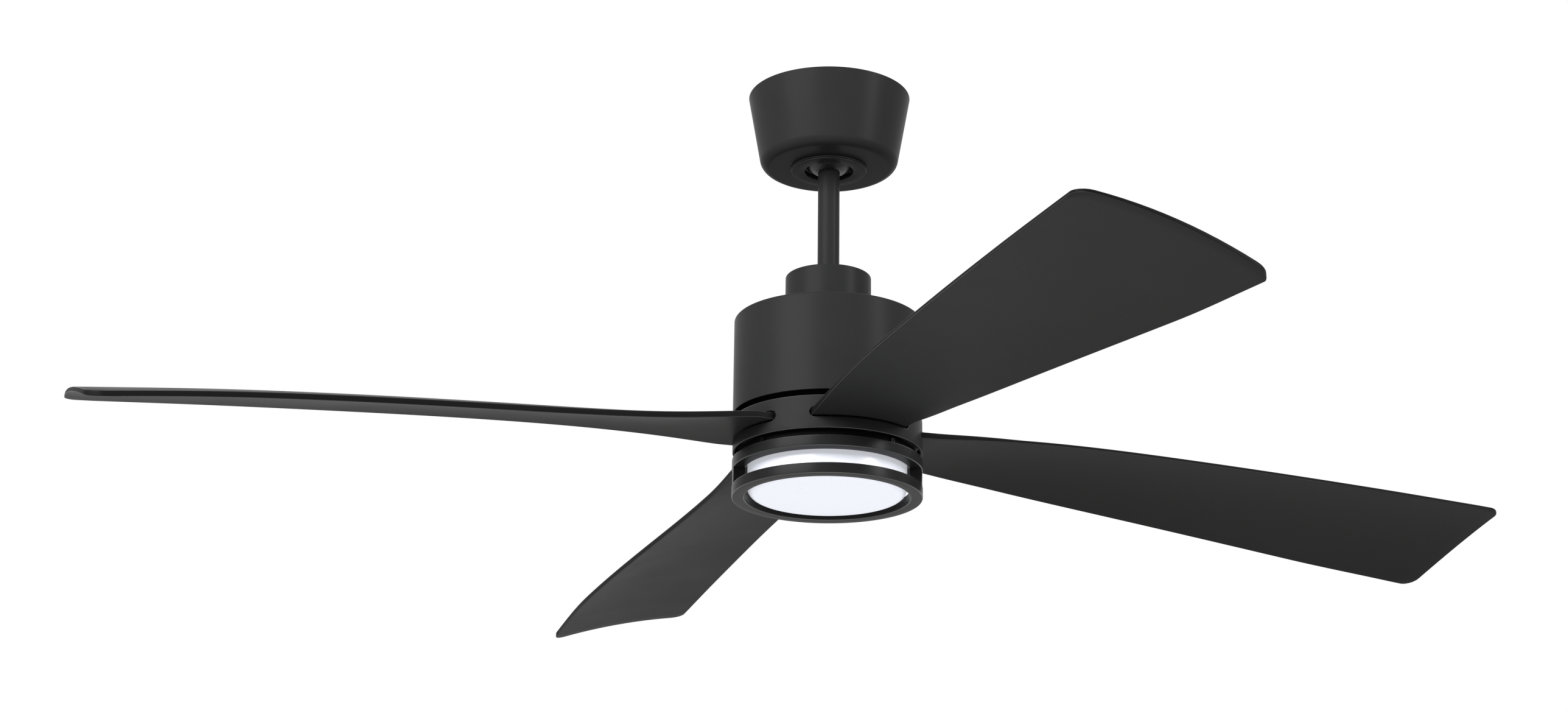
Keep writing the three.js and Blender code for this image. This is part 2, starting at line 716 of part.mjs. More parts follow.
// Motor housing: a drum with a closed top, screwed to the yoke's flange
function housingSolid() {
  const roof = housingTop - housingWall;
  const shell = turned([
    [drumRadius, housingBottom],
    [drumRadius, housingTop, housingFillet],
    [yokeRadius + seatGap, housingTop],
    [yokeRadius + seatGap, roof],
    [drumRadius - housingWall, roof],
    [drumRadius - housingWall, housingBottom],
  ]);
  const holes = around(housingScrewCount, 0).map((angle) => {
    const [x, y] = onCircle(housingScrewCircle, angle);
    return uprightAt(housingScrewRadius + seatGap, x, y, roof - cutOverrun, housingTop + cutOverrun);
  });
  return cut(shell, ...holes);
}

// Motor shaft: hollow, with a shoulder and a threaded stud for the light tray
const shaftShoulder = trayTop + seatGap;
const shaftBottom = trayBottom - seatGap - nutHeight - seatGap;

function shaftSolid() {
  return turned([
    [shaftBore, shaftBottom], [shaftStudRadius, shaftBottom], [shaftStudRadius, shaftShoulder],
    [shaftRadius, shaftShoulder], [shaftRadius, shaftTop], [shaftBore, shaftTop],
  ], tubeSides);
}

// One half of the turning motor case, drawn for the upper half about the case's middle
function caseHalfSolid() {
  const top = caseHeight / 2;
  const split = seatGap / 2;
  const bossEnd = top - caseLip - bearingWidth - 2 * seatGap;
  const bossRadius = bearingRadius + caseBossWall;
  return turned([
    [caseEyeRadius, top],
    [caseRadius, top, caseWall],
    [caseRadius, split],
    [caseRadius - caseWall, split],
    [caseRadius - caseWall, top - caseWall],
    [bossRadius, top - caseWall],
    [bossRadius, bossEnd],
    [bearingRadius + seatGap, bossEnd],
    [bearingRadius + seatGap, top - caseLip],
    [caseEyeRadius, top - caseLip],
  ], motorSides);
}

// Tapped holes for the blade screws go right through the lower half of the case
function bladeScrewHoles(bottom, top) {
  return around(bladeCount, 0).flatMap((angle) => [-1, 1].map((side) =>
    uprightAt(bladeScrewRadius + seatGap, bladeScrewPlace, side * bladeScrewOffset,
      bottom - cutOverrun, top + cutOverrun).rotate([0, 0, angle])));
}

function caseLowerSolid() {
  const half = caseHalfSolid().rotate([180, 0, 0]);
  return cut(half, ...bladeScrewHoles(-caseHeight / 2, -caseHeight / 2 + caseWall));
}

function bearingSolid() {
  const middle = bearingWidth / 2;
  const groove = bearingGrooveWidth / 2;
  const race = (bearingRadius + shaftRadius) / 2;
  return turned([
    [shaftFit, -middle], [bearingRadius, -middle], [bearingRadius, middle],
    [race + groove, middle], [race + groove, middle - bearingGrooveDepth],
    [race - groove, middle - bearingGrooveDepth], [race - groove, middle], [shaftFit, middle],
  ], tubeSides);
}

const coreSlots = (spare) => around(coreToothCount, 0).map((angle) => block(
  point(coreHubRadius + spare, -coreSlotWidth / 2 + spare, -coreHeight),
  point(coreRadius + cutOverrun, coreSlotWidth / 2 - spare, coreHeight),
).rotate([0, 0, angle]));

// Stator core: a stack of toothed sheets
function coreSolid() {
  const half = coreHeight / 2;
  const stack = turned([
    [shaftFit, -half], [coreRadius, -half], [coreRadius, half], [shaftFit, half],
  ], motorSides);
  return cut(stack, ...coreSlots(0));
}

// Stator windings: a ring of winding heads on each side, joined through the core's slots
function windingSolid() {
  const reach = coreHeight / 2 + seatGap;
  const head = turned([
    [windingInnerRadius, reach], [windingOuterRadius, reach],
    [windingOuterRadius, reach + windingHeadHeight],
    [windingInnerRadius, reach + windingHeadHeight],
  ], motorSides);
  const tube = turned([
    [windingInnerRadius, -reach - seatGap], [windingOuterRadius, -reach - seatGap],
    [windingOuterRadius, reach + seatGap], [windingInnerRadius, reach + seatGap],
  ], motorSides);
  const bars = tube.intersect(join(...coreSlots(seatGap)));
  return join(head, head.rotate([180, 0, 0]), bars);
}

function magnetSolid() {
  const half = magnetHeight / 2;
  return turned([
    [magnetInside, -half], [magnetRadius, -half], [magnetRadius, half], [magnetInside, half],
  ], motorSides);
}

// Carrier plate: a disc with an arm between each two blades, out to the rotor ring's ears
const earAngles = around(bladeCount, 180 / bladeCount);
const carrierReach = ringInside - carrierRimGap;
const earPlace = ringInside - earReach / 2;

function carrierSolid() {
  const disc = upright(caseRadius - carrierInset, carrierBottom, carrierTop, motorSides);
  const arms = earAngles.map((angle) => block(
    point(0, -carrierArmWidth / 2, carrierBottom),
    point(carrierReach, carrierArmWidth / 2, carrierTop),
  ).rotate([0, 0, angle]));
  const hole = upright(carrierHoleRadius, carrierBottom - cutOverrun, carrierTop + cutOverrun);
  const earHoles = earAngles.map((angle) => {
    const [x, y] = onCircle(earPlace, angle);
    return uprightAt(ringScrewRadius + seatGap, x, y, carrierBottom - cutOverrun, carrierTop + cutOverrun);
  });
  const drum = upright(carrierReach, carrierBottom - cutOverrun, carrierTop + cutOverrun, drumSides);
  const holes = [hole, ...earHoles, ...bladeScrewHoles(carrierBottom, carrierTop)];
  return cut(join(disc, ...arms).intersect(drum), ...holes);
}

// Rotor ring: a thin band with a round-ended slot for each blade and an ear between slots
const earTop = carrierBottom - seatGap;
const earBottom = earTop - earThickness;

function rotorRingSolid() {
  const band = turned([
    [ringInside, ringBottom],
    [drumRadius, ringBottom, ringFillet],
    [drumRadius, ringTop, ringFillet],
    [ringInside, ringTop],
  ]);
  const slotOutline = rectangle(slotHeight / 2, slotHalfWidth, slotHeight / 2 - weldDistance);
  const slots = around(bladeCount, 0).map((angle) => raised(slotOutline, 0, drumRadius)
    .rotate([0, 90, 0])
    .translate([ringWall, 0, slotMiddle])
    .rotate([0, 0, angle]));
  const ear = block(
    point(ringInside - earReach, -earWidth / 2, earBottom),
    point(ringInside + ringWall / 2, earWidth / 2, earTop),
  ).subtract(uprightAt(ringScrewRadius + seatGap, earPlace, 0, earBottom - cutOverrun, earTop + cutOverrun));
  return join(cut(band, ...slots), ...earAngles.map((angle) => ear.rotate([0, 0, angle])));
}

// Blade edges across the centre line, as functions of the distance from the fan's axis
const bladeAt = (share) => bladeSlotRadius + (bladeTipRadius - bladeSlotRadius) * share;
const leadingEdge = smoothThrough([
  [bladeRootRadius, -bladeRootHalfWidth], [bladeSlotRadius, -bladeSlotLeading],
  [bladeAt(bladeMidShare), -bladeMidLeading], [bladeTipRadius, -bladeTipLeading],
]);
const trailingEdge = smoothThrough([
  [bladeRootRadius, bladeRootHalfWidth], [bladeSlotRadius, bladeSlotTrailing],
  [bladeAt(bladeWaistShare), bladeWaistTrailing], [bladeAt(bladeBellyShare), bladeBellyTrailing],
  [bladeTipRadius, bladeTipTrailing],
]);

// Height of a blade's underside at a distance from the axis and a share of the way across it
function bladeUnderside(radius, across) {
  const out = Math.max(radius - drumRadius, 0);
  const share = out / (bladeTipRadius - drumRadius);
  const ease = 1 - Math.exp(-((out / bladeTwistLength) ** bladeTwistPower));
  const pitch = radians(bladePitch * ease + bladeTipTwist * share ** bladeTipTwistPower);
  const droop = bladeDroop * ((1 - bladeDroopCurveShare) * share + bladeDroopCurveShare * share ** 2);
  const chord = trailingEdge(radius) - leadingEdge(radius);
  const tilt = (0.5 - across) * chord * Math.tan(pitch);
  const camber = bladeCamber * ease * 4 * across * (1 - across);
  return bladeRootBottom - droop + tilt + camber;
}

function bladeThickness(radius, across) {
  const out = THREE.MathUtils.clamp((radius - drumRadius) / bladeTwistLength, 0, 1);
  const share = THREE.MathUtils.clamp((radius - drumRadius) / (bladeTipRadius - drumRadius), 0, 1);
  const blade = THREE.MathUtils.lerp(bladeLeadingThickness, bladeTrailingThickness, across);
  const taper = THREE.MathUtils.lerp(1, bladeTipThicknessShare, share);
  return THREE.MathUtils.lerp(bladeRootThickness, blade * taper, out);
}

// A blade along +X: a grid of points below, the same above, and a wall round its rim
function bladeSolid() {
  const spanShares = [0, 0.045, 0.07, 0.095, 0.125, 0.165, 0.22, 0.3, 0.42, 0.56, 0.7, 0.85, 0.95, 1];
  const middleShares = [0.28, 0.5, 0.72];
  const tipChord = bladeTipLeading + bladeTipTrailing;
  const cornerShare = bladeTipCorner / tipChord;
  const cornerTurns = [0, 45, 90];
  const arcShares = cornerTurns.map((turn) => cornerShare * (1 - Math.cos(radians(turn))));
  const acrossShares = [...arcShares, ...middleShares, ...arcShares.map((share) => 1 - share).reverse()];
  const endRadius = (across) => {
    const fromEdge = Math.min(across, 1 - across) / cornerShare;
    const setback = fromEdge < 1 ? bladeTipCorner * (1 - Math.sqrt(1 - (1 - fromEdge) ** 2)) : 0;
    return bladeTipRadius - bladeTipBulge * (2 * across - 1) ** 2 - setback;
  };
  const rows = spanShares.length;
  const columns = acrossShares.length;
  const [lastRow, lastColumn] = [rows - 1, columns - 1];
  const positions = [];
  [0, 1].forEach((side) => spanShares.forEach((share) => acrossShares.forEach((across) => {
    const radius = THREE.MathUtils.lerp(bladeRootRadius, endRadius(across), share);
    const sideways = THREE.MathUtils.lerp(leadingEdge(radius), trailingEdge(radius), across);
    const height = bladeUnderside(radius, across) + side * bladeThickness(radius, across);
    positions.push(radius, sideways, height);
  })));
  const at = (side, row, column) => (side * rows + row) * columns + column;
  const faces = [];
  const quad = (a, b, c, d) => faces.push(a, b, c, a, c, d);
  const wall = (row, column, nextRow, nextColumn) => quad(
    at(0, row, column), at(0, nextRow, nextColumn), at(1, nextRow, nextColumn), at(1, row, column),
  );
  for (let row = 0; row < lastRow; row += 1) {
    for (let column = 0; column < lastColumn; column += 1) {
      quad(at(0, row, column), at(0, row, column + 1), at(0, row + 1, column + 1), at(0, row + 1, column));
      quad(at(1, row, column), at(1, row + 1, column), at(1, row + 1, column + 1), at(1, row, column + 1));
    }
    wall(row, 0, row + 1, 0);
    wall(row + 1, lastColumn, row, lastColumn);
  }
  for (let column = 0; column < lastColumn; column += 1) {
    wall(0, column + 1, 0, column);
    wall(lastRow, column, lastRow, column + 1);
  }
  const geometry = new THREE.BufferGeometry();
  geometry.setAttribute('position', new THREE.Float32BufferAttribute(positions, 3));
  geometry.setIndex(faces);
  const holes = [-1, 1].map((side) => uprightAt(bladeScrewRadius + seatGap, bladeScrewPlace,
    side * bladeScrewOffset, bladeRootBottom - cutOverrun, bladeRootTop + cutOverrun));
  return cut(solidFrom(geometry), ...holes);
}

// Light cage: both rings, two posts at the sides, the neck and three lips for the diffuser
const lugAngles = around(lugCount, lugFirstAngle);

function cageSolid() {
  const neckTop = cageTop + cageNeckHeight;
  const shoulder = trayBottom - seatGap;
  const upper = turned([
    [cageInside, cageUpperBottom, cageFillet],
    [drumRadius, cageUpperBottom, cageFillet],
    [drumRadius, cageTop, cageFillet],
    [neckOutside, cageTop],
    [neckOutside, neckTop],
    [neckInside, neckTop],
    [neckInside, shoulder],
    [cageInside, shoulder],
  ]);
  const lower = turned([
    [cageInside, cageBottom, cageFillet],
    [drumRadius, cageBottom, cageFillet],
    [drumRadius, cageLowerTop, cageFillet],
    [cageInside, cageLowerTop, cageFillet],
  ]);
  const post = (angle) => sector(cageInside + seatGap, drumRadius - seatGap, cageLowerTop - 2 * cageFillet,
    cageUpperBottom + 2 * cageFillet, angle - cagePostHalfAngle, angle + cagePostHalfAngle);
  const lips = lugAngles.map((angle) => sector(cageInside - cageLipWidth, cageInside + cageFillet,
    cageUpperBottom + cageFillet, cageUpperBottom + cageFillet + cageLipHeight,
    angle - cageLipAngle / 2, angle + cageLipAngle / 2));
  return cut(join(upper, lower, post(0), post(180), ...lips), ...cageScrewHoles());
}

const cageScrewAngles = around(cageScrewCount, cageScrewFirstAngle);
const cageScrewHeight = (ringBottom + cageTop) / 2;

function cageScrewHoles() {
  const inner = trayRadius - traySheet - cutOverrun;
  return cageScrewAngles.map((angle) => bar(cageScrewRadius + seatGap, point(inner, 0, cageScrewHeight),
    point(neckOutside + cutOverrun, 0, cageScrewHeight), screwSides).rotate([0, 0, angle]));
}

// Light tray: a shallow dish, open upwards, that carries the driver, the board and the cage
function traySolid() {
  const dish = turned([
    [shaftStudRadius + seatGap, trayBottom],
    [trayRadius, trayBottom],
    [trayRadius, trayTop + trayRimHeight],
    [trayRadius - traySheet, trayTop + trayRimHeight],
    [trayRadius - traySheet, trayTop],
    [shaftStudRadius + seatGap, trayTop],
  ]);
  const boardHoles = boardScrewAngles.map((angle) => {
    const [x, y] = onCircle(boardScrewCircle, angle);
    return uprightAt(boardScrewRadius + seatGap, x, y, trayBottom - cutOverrun, trayTop + cutOverrun);
  });
  return cut(dish, ...cageScrewHoles(), ...boardHoles);
}

function nutSolid() {
  const top = trayBottom - seatGap;
  const bottom = top - nutHeight;
  const cornerRadius = nutFlatRadius / Math.cos(Math.PI / hexagonSides);
  const hole = upright(shaftStudRadius + seatGap, bottom - cutOverrun, top + cutOverrun);
  return cut(upright(cornerRadius, bottom, top, hexagonSides), hole);
}

function driverSolid() {
  const bottom = trayTop + seatGap;
  return raised(rectangle(driverLength / 2, driverWidth / 2, driverCorner), bottom, bottom + driverHeight);
}

const boardScrewAngles = around(boardScrewCount, boardScrewFirstAngle);
const boardTop = trayBottom - seatGap;
const boardBottom = boardTop - boardThickness;

function boardSolid() {
  const hole = nutFlatRadius + boardHoleSpare;
  const disc = turned([
    [hole, boardBottom], [boardRadius, boardBottom], [boardRadius, boardTop], [hole, boardTop],
  ], motorSides);
  return cut(disc, ...boardScrewAngles.map((angle) => {
    const [x, y] = onCircle(boardScrewCircle, angle);
    return uprightAt(boardScrewRadius + seatGap, x, y, boardBottom - cutOverrun, boardTop + cutOverrun);
  }));
}

// Diffuser: an opal cup with a soft lower edge and three lugs that rest on the cage's lips
function diffuserSolid() {
  const lugBottom = cageUpperBottom + cageFillet + cageLipHeight + seatGap;
  const lugTop = lugBottom + diffuserLugHeight;
  const top = lugTop + diffuserRimHeight;
  const bottom = cageBottom + diffuserRecess;
  const inside = diffuserRadius - diffuserWall;
  const cup = turned([
    [0, bottom],
    [diffuserRadius, bottom, diffuserEdgeRadius],
    [diffuserRadius, top],
    [inside, top],
    [inside, bottom + diffuserWall, diffuserEdgeRadius - diffuserWall],
    [0, bottom + diffuserWall],
  ]);
  const lug = sector(inside + diffuserWall / 2, cageInside - 2 * seatGap, lugBottom, lugTop,
    -diffuserLugAngle / 2, diffuserLugAngle / 2);
  return join(cup, ...lugAngles.map((angle) => lug.rotate([0, 0, angle])));
}

// Finishes
const blackPaint = { color: 0x30312f, roughness: 0.55, metalness: 0.1 };
const blackPlastic = { color: 0x2e2f2e, roughness: 0.5, metalness: 0 };
const opal = { color: 0xe8ebf6, roughness: 0.35, metalness: 0 };
const zincSteel = { color: 0xb4b6b8, roughness: 0.35, metalness: 0.9 };
const castIron = { color: 0x262626, roughness: 0.6, metalness: 0.6 };
const aluminium = { color: 0xc4c6c8, roughness: 0.4, metalness: 0.9 };
const copper = { color: 0xa4582c, roughness: 0.35, metalness: 0.9 };
const laminations = { color: 0x6e7073, roughness: 0.5, metalness: 0.8 };
const greyPlastic = { color: 0x505254, roughness: 0.6, metalness: 0 };
const whitePlastic = { color: 0xe6e6e2, roughness: 0.5, metalness: 0 };
const leadSheath = { color: 0xd8d8d4, roughness: 0.6, metalness: 0 };

// A named mesh of a solid, with its own material
function piece(name, solid, finish) {
  const { numProp, vertProperties, triVerts } = solid.getMesh();
  const corners = new THREE.InterleavedBuffer(vertProperties, numProp);
  const geometry = new THREE.BufferGeometry();
  geometry.setAttribute('position', new THREE.InterleavedBufferAttribute(corners, 3, 0));
  geometry.setIndex(new THREE.BufferAttribute(triVerts, 1));
  const mesh = new THREE.Mesh(geometry, new THREE.MeshStandardMaterial(finish));
  mesh.name = name;
  return mesh;
}

// A piece moved to a place, and turned about Z by an angle in degrees
function placed(mesh, x, y, z, angle = 0) {
  mesh.position.set(x, y, z);
  mesh.rotation.z = radians(angle);
  return mesh;
}

// A screw whose head faces down, its seat at the given place
function screwFromBelow(mesh, x, y, z) {
  mesh.position.set(x, y, z);
  mesh.rotation.x = Math.PI;
  return mesh;
}

const fan = new THREE.Group();

// What is fixed to the ceiling
fan.add(
  piece('hanger_bracket', bracketSolid(), zincSteel),
  piece('receiver_box', receiverSolid(), greyPlastic),
);

// The canopy and what comes down with it
const canopyScrew = screw(canopyScrewHeadRadius, canopyScrewHeadHeight, canopyScrewRadius,
  canopyScrewLength - seatGap);
fan.add(
  piece('canopy', canopySolid(), blackPaint),
  piece('canopy_trim_ring', trimRingSolid(), blackPaint),
);
[1, -1].forEach((side, i) => {
  const mesh = piece(`canopy_screw_${i + 1}`, canopyScrew, zincSteel);
  fan.add(screwFromBelow(mesh, 0, side * canopyScrewCircle, canopyBottom - seatGap));
});

// What hangs from the bracket and doesn't turn
fan.add(
  piece('hanger_ball', hangerBallSolid(), castIron),
  piece('ball_pin', ballPinSolid(), zincSteel),
  piece('ball_set_screw', ballScrewSolid(), zincSteel),
  piece('downrod', downrodSolid(), blackPaint),
  piece('motor_lead', leadSolid(), leadSheath),
  piece('coupling_cover', coverSolid(), blackPaint),
  piece('motor_yoke', yokeSolid(), castIron),
  piece('yoke_pin', yokePinSolid(), zincSteel),
  piece('yoke_clip', yokeClipSolid(), zincSteel),
  piece('yoke_set_screw', yokeScrewSolid(), zincSteel),
  piece('motor_housing', housingSolid(), blackPaint),
  piece('motor_shaft', shaftSolid(), zincSteel),
  placed(piece('stator_core', coreSolid(), laminations), 0, 0, caseMiddle),
  placed(piece('stator_windings', windingSolid(), copper), 0, 0, caseMiddle),
);
const housingScrew = screw(housingScrewHeadRadius, housingScrewHeadHeight, housingScrewRadius,
  housingWall + yokeFlangeThickness + 2 * seatGap);
around(housingScrewCount, 0).forEach((angle, i) => {
  const [x, y] = onCircle(housingScrewCircle, angle);
  fan.add(placed(piece(`housing_screw_${i + 1}`, housingScrew, zincSteel), x, y, housingTop + seatGap));
});

// The light under the fan
fan.add(
  piece('light_tray', traySolid(), aluminium),
  piece('shaft_nut', nutSolid(), zincSteel),
  placed(piece('led_driver', driverSolid(), whitePlastic), 0, driverOffset, 0),
  piece('led_board', boardSolid(), aluminium),
  piece('light_cage', cageSolid(), blackPaint),
  piece('diffuser', diffuserSolid(), opal),
);
const boardScrew = screw(boardScrewHeadRadius, boardScrewHeadHeight, boardScrewRadius,
  boardThickness + traySheet + 2 * seatGap);
boardScrewAngles.forEach((angle, i) => {
  const [x, y] = onCircle(boardScrewCircle, angle);
  const mesh = piece(`board_screw_${i + 1}`, boardScrew, zincSteel);
  fan.add(screwFromBelow(mesh, x, y, boardBottom - seatGap));
});
const cageScrew = screw(cageScrewHeadRadius, cageScrewHeadHeight, cageScrewRadius, cageScrewLength);
cageScrewAngles.forEach((angle, i) => {
  const spoke = new THREE.Group();
  spoke.rotation.z = radians(angle);
  const mesh = piece(`cage_screw_${i + 1}`, cageScrew, zincSteel);
  mesh.position.set(neckOutside + seatGap, 0, cageScrewHeight);
  mesh.rotation.y = Math.PI / 2;
  fan.add(spoke.add(mesh));
});

// What turns: the motor case, the carrier, the rotor ring and the blades
const rotor = new THREE.Group();
rotor.rotation.z = radians(bladeFirstAngle);
const bearingInset = caseHeight / 2 - caseLip - seatGap - bearingWidth / 2;
rotor.add(
  placed(piece('rotor_case_upper', caseHalfSolid(), aluminium), 0, 0, caseMiddle),
  placed(piece('rotor_case_lower', caseLowerSolid(), aluminium), 0, 0, caseMiddle),
  placed(piece('magnet_ring', magnetSolid(), laminations), 0, 0, caseMiddle),
  placed(piece('bearing_upper', bearingSolid(), zincSteel), 0, 0, caseMiddle + bearingInset),
  placed(piece('bearing_lower', bearingSolid(), zincSteel), 0, 0, caseMiddle - bearingInset),
  piece('ring_carrier', carrierSolid(), zincSteel),
  piece('rotor_ring', rotorRingSolid(), blackPaint),
);
const ringScrew = screw(ringScrewHeadRadius, ringScrewHeadHeight, ringScrewRadius,
  earThickness + carrierThickness + 2 * seatGap);
earAngles.forEach((angle, i) => {
  const [x, y] = onCircle(earPlace, angle);
  rotor.add(screwFromBelow(piece(`ring_screw_${i + 1}`, ringScrew, zincSteel), x, y, earBottom - seatGap));
});
const blade = bladeSolid();
const bladeScrew = screw(bladeScrewHeadRadius, bladeScrewHeadHeight, bladeScrewRadius,
  bladeRootThickness + carrierThickness + caseWall + 3 * seatGap);
around(bladeCount, 0).forEach((angle, i) => {
  const arm = new THREE.Group();
  arm.rotation.z = radians(angle);
  arm.add(piece(`blade_${i + 1}`, blade, blackPlastic));
  [-1, 1].forEach((side, k) => {
    const mesh = piece(`blade_screw_${i + 1}_${k + 1}`, bladeScrew, zincSteel);
    arm.add(screwFromBelow(mesh, bladeScrewPlace, side * bladeScrewOffset, bladeRootBottom - seatGap));
  });
  rotor.add(arm);
});
fan.add(rotor);

export default fan;
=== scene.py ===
"""A four-blade ceiling fan with a flat round light under it, hung from a short downrod."""

import math

import bmesh
import bpy
from mathutils import Matrix, Vector


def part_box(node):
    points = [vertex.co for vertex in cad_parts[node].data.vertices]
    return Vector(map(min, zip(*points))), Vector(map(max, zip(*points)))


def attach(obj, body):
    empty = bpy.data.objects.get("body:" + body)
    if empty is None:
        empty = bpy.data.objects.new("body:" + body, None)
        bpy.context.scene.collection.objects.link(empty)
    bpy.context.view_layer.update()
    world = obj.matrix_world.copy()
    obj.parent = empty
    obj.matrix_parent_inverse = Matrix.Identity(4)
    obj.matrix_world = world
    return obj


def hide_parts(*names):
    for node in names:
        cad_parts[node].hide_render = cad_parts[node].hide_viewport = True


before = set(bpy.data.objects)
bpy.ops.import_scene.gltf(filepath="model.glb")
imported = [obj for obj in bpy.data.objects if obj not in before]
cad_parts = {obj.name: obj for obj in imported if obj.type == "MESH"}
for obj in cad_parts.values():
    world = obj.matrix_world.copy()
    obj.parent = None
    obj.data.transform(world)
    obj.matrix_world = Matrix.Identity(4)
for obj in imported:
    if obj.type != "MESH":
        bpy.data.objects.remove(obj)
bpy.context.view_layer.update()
mm = 0.001

# Camera: below the fan and in front of it, looking up at the light. The picture is 2576 by 1169.
# It turns a little to the left and leans a little, as the photograph's camera does.
camera_place = Vector((0, -2385.5, -1067.8)) * mm
camera_pitch = math.radians(18.503)
camera_yaw = math.radians(-1.018)
camera_roll = math.radians(0.636)
picture_width = 2576
focal_pixels = 4280
sensor_width = 36

ahead = Vector((
    math.sin(camera_yaw) * math.cos(camera_pitch),
    math.cos(camera_yaw) * math.cos(camera_pitch),
    math.sin(camera_pitch),
))
level_right = ahead.cross(Vector((0, 0, 1))).normalized()
level_up = level_right.cross(ahead)
right = level_right * math.cos(camera_roll) + level_up * math.sin(camera_roll)
up = level_up * math.cos(camera_roll) - level_right * math.sin(camera_roll)
camera = bpy.data.objects.new("camera", bpy.data.cameras.new("camera"))
camera.matrix_world = Matrix.Translation(camera_place) @ Matrix((right, up, -ahead)).transposed().to_4x4()
camera.data.sensor_width = sensor_width
camera.data.lens = sensor_width * focal_pixels / picture_width
bpy.context.scene.collection.objects.link(camera)
bpy.context.scene.camera = camera
bpy.context.scene.view_settings.view_transform = "Standard"

# Studio: soft boxes that light the fan's sides and underside, in a white surround that gives a level
# fill light and is plain white to the eye and in reflections. The pale floor glows a little to the
# eye and in reflections alone, so that it stays pale far from the lamps.
fill_level = 0.5
floor_depth = -2.6
floor_size = 40.0
floor_glow = 0.3
floor_colour = (0.82, 0.82, 0.81, 1)
floor_least_rough = 0.55
floor_rough_range = 0.2
floor_mottle_scale = 3.0
corner_signs = ((-1, -1), (1, -1), (1, 1), (-1, 1))


class Socket:
    """One value in a node tree. Arithmetic on it adds Math nodes to the tree."""

    def __init__(self, tree, link):
        self.tree = tree
        self.link = link

    def math(self, operation, other):
        return self.tree.node("Math", {"operation": operation}, {0: self, 1: other})

    def __add__(self, other):
        return self.math("ADD", other)

    def __mul__(self, other):
        return self.math("MULTIPLY", other)

    __radd__ = __add__
    __rmul__ = __mul__


class Tree:
    """The node tree of a material or of the world, emptied first."""

    def __init__(self, owner):
        owner.use_nodes = True
        self.nodes = owner.node_tree.nodes
        self.links = owner.node_tree.links
        self.nodes.clear()

    def node(self, kind, settings=None, inputs=None, output=0):
        """Adds a node, gives it its settings and the values or links of its sockets, returns an output."""
        made = self.nodes.new("ShaderNode" + kind)
        for name, value in (settings or {}).items():
            setattr(made, name, value)
        for name, value in (inputs or {}).items():
            if isinstance(value, Socket):
                self.links.new(value.link, made.inputs[name])
            else:
                made.inputs[name].default_value = value
        return Socket(self, made.outputs[output]) if made.outputs else None


def seen_rays(tree):
    """1 for the rays that show a surface to the eye, straight or in a reflection, and 0 for the rest."""
    camera_ray, glossy_ray, clear_ray = (
        tree.node("LightPath", output=f"Is {name} Ray") for name in ("Camera", "Glossy", "Transmission"))
    return camera_ray.math("MAXIMUM", glossy_ray.math("MAXIMUM", clear_ray))


world = bpy.data.worlds.new("surround")
bpy.context.scene.world = world
tree = Tree(world)
surround = tree.node("Background", inputs={
    "Color": (1, 1, 1, 1), "Strength": fill_level + seen_rays(tree) * (1 - fill_level)})
tree.node("OutputWorld", inputs={"Surface": surround})

floor = bpy.data.objects.new("floor", bpy.data.meshes.new("floor"))
floor_corners = [(x * floor_size / 2, y * floor_size / 2, floor_depth) for x, y in corner_signs]
floor.data.from_pydata(floor_corners, [], [(0, 1, 2, 3)])
floor.data.materials.append(bpy.data.materials.new("pale_floor"))
tree = Tree(floor.data.materials[0])
mottle = tree.node("TexNoise", inputs={"Scale": floor_mottle_scale, "Detail": 4.0}, output="Fac")
floor_shader = tree.node("BsdfPrincipled", inputs={
    "Base Color": floor_colour,
    "Roughness": floor_least_rough + mottle * floor_rough_range,
    "Emission Color": floor_colour,
    "Emission Strength": seen_rays(tree) * floor_glow,
})
tree.node("OutputMaterial", inputs={"Surface": floor_shader})
bpy.context.scene.collection.objects.link(floor)


def soft_box(name, place, target, width, height, power):
    """A flat soft lamp that looks from its place at a target."""
    lamp = bpy.data.objects.new(name, bpy.data.lights.new(name, "AREA"))
    lamp.data.shape = "RECTANGLE"
    lamp.data.size = width
    lamp.data.size_y = height
    lamp.data.energy = power
    lamp.location = place
    lamp.rotation_euler = (Vector(target) - Vector(place)).to_track_quat("-Z", "Y").to_euler()
    bpy.context.scene.collection.objects.link(lamp)


housing_middle = (0, 0, -0.25)
light_middle = (0, 0, -0.35)
soft_box("left_box", place=(-1.6, -1.9, 0.65), target=housing_middle, width=2.1, height=1.3, power=128)
soft_box("right_box", place=(2.2, -1.1, 0.65), target=housing_middle, width=0.6, height=1.5, power=62)
soft_box("low_box", place=(0.2, -1.0, -2.3), target=light_middle, width=2.2, height=1.4, power=12)


# Hanger bracket: a plate under the ceiling box, two legs and a socket ring for the ball.
# Pressed from zinc plated steel sheet, and screwed to the box through its two slots.
def finish(name, shade, rough, build, specular=0.5, metallic=0.0, glow=0.0):
    """A material whose shader gets its constants and whatever build works out over the surface."""
    material = bpy.data.materials.new(name)
    tree = Tree(material)
    place = tree.node("TexCoord", output="Object")
    inputs = {
        "Base Color": (*shade, 1),
        "Roughness": rough,
        "Specular IOR Level": specular,
        "Metallic": metallic,
        "Emission Strength": glow,
    }
    inputs.update(build(tree, place, shade, rough))
    tree.node("OutputMaterial", inputs={"Surface": tree.node("BsdfPrincipled", inputs=inputs)})
    return material


def mixed(tree, amount, first, second):
    """A colour that goes from the first to the second, as amount goes from 0 to 1."""
    return tree.node("Mix", {"data_type": "RGBA"}, {0: amount, 6: (*first, 1), 7: (*second, 1)}, output=2)


def varied(tree, shade, amount, change):
    """A colour that goes from darker to lighter by a share of it, as amount goes from 0 to 1."""
    return mixed(tree, amount, [c * (1 - change) for c in shade], [c * (1 + change) for c in shade])


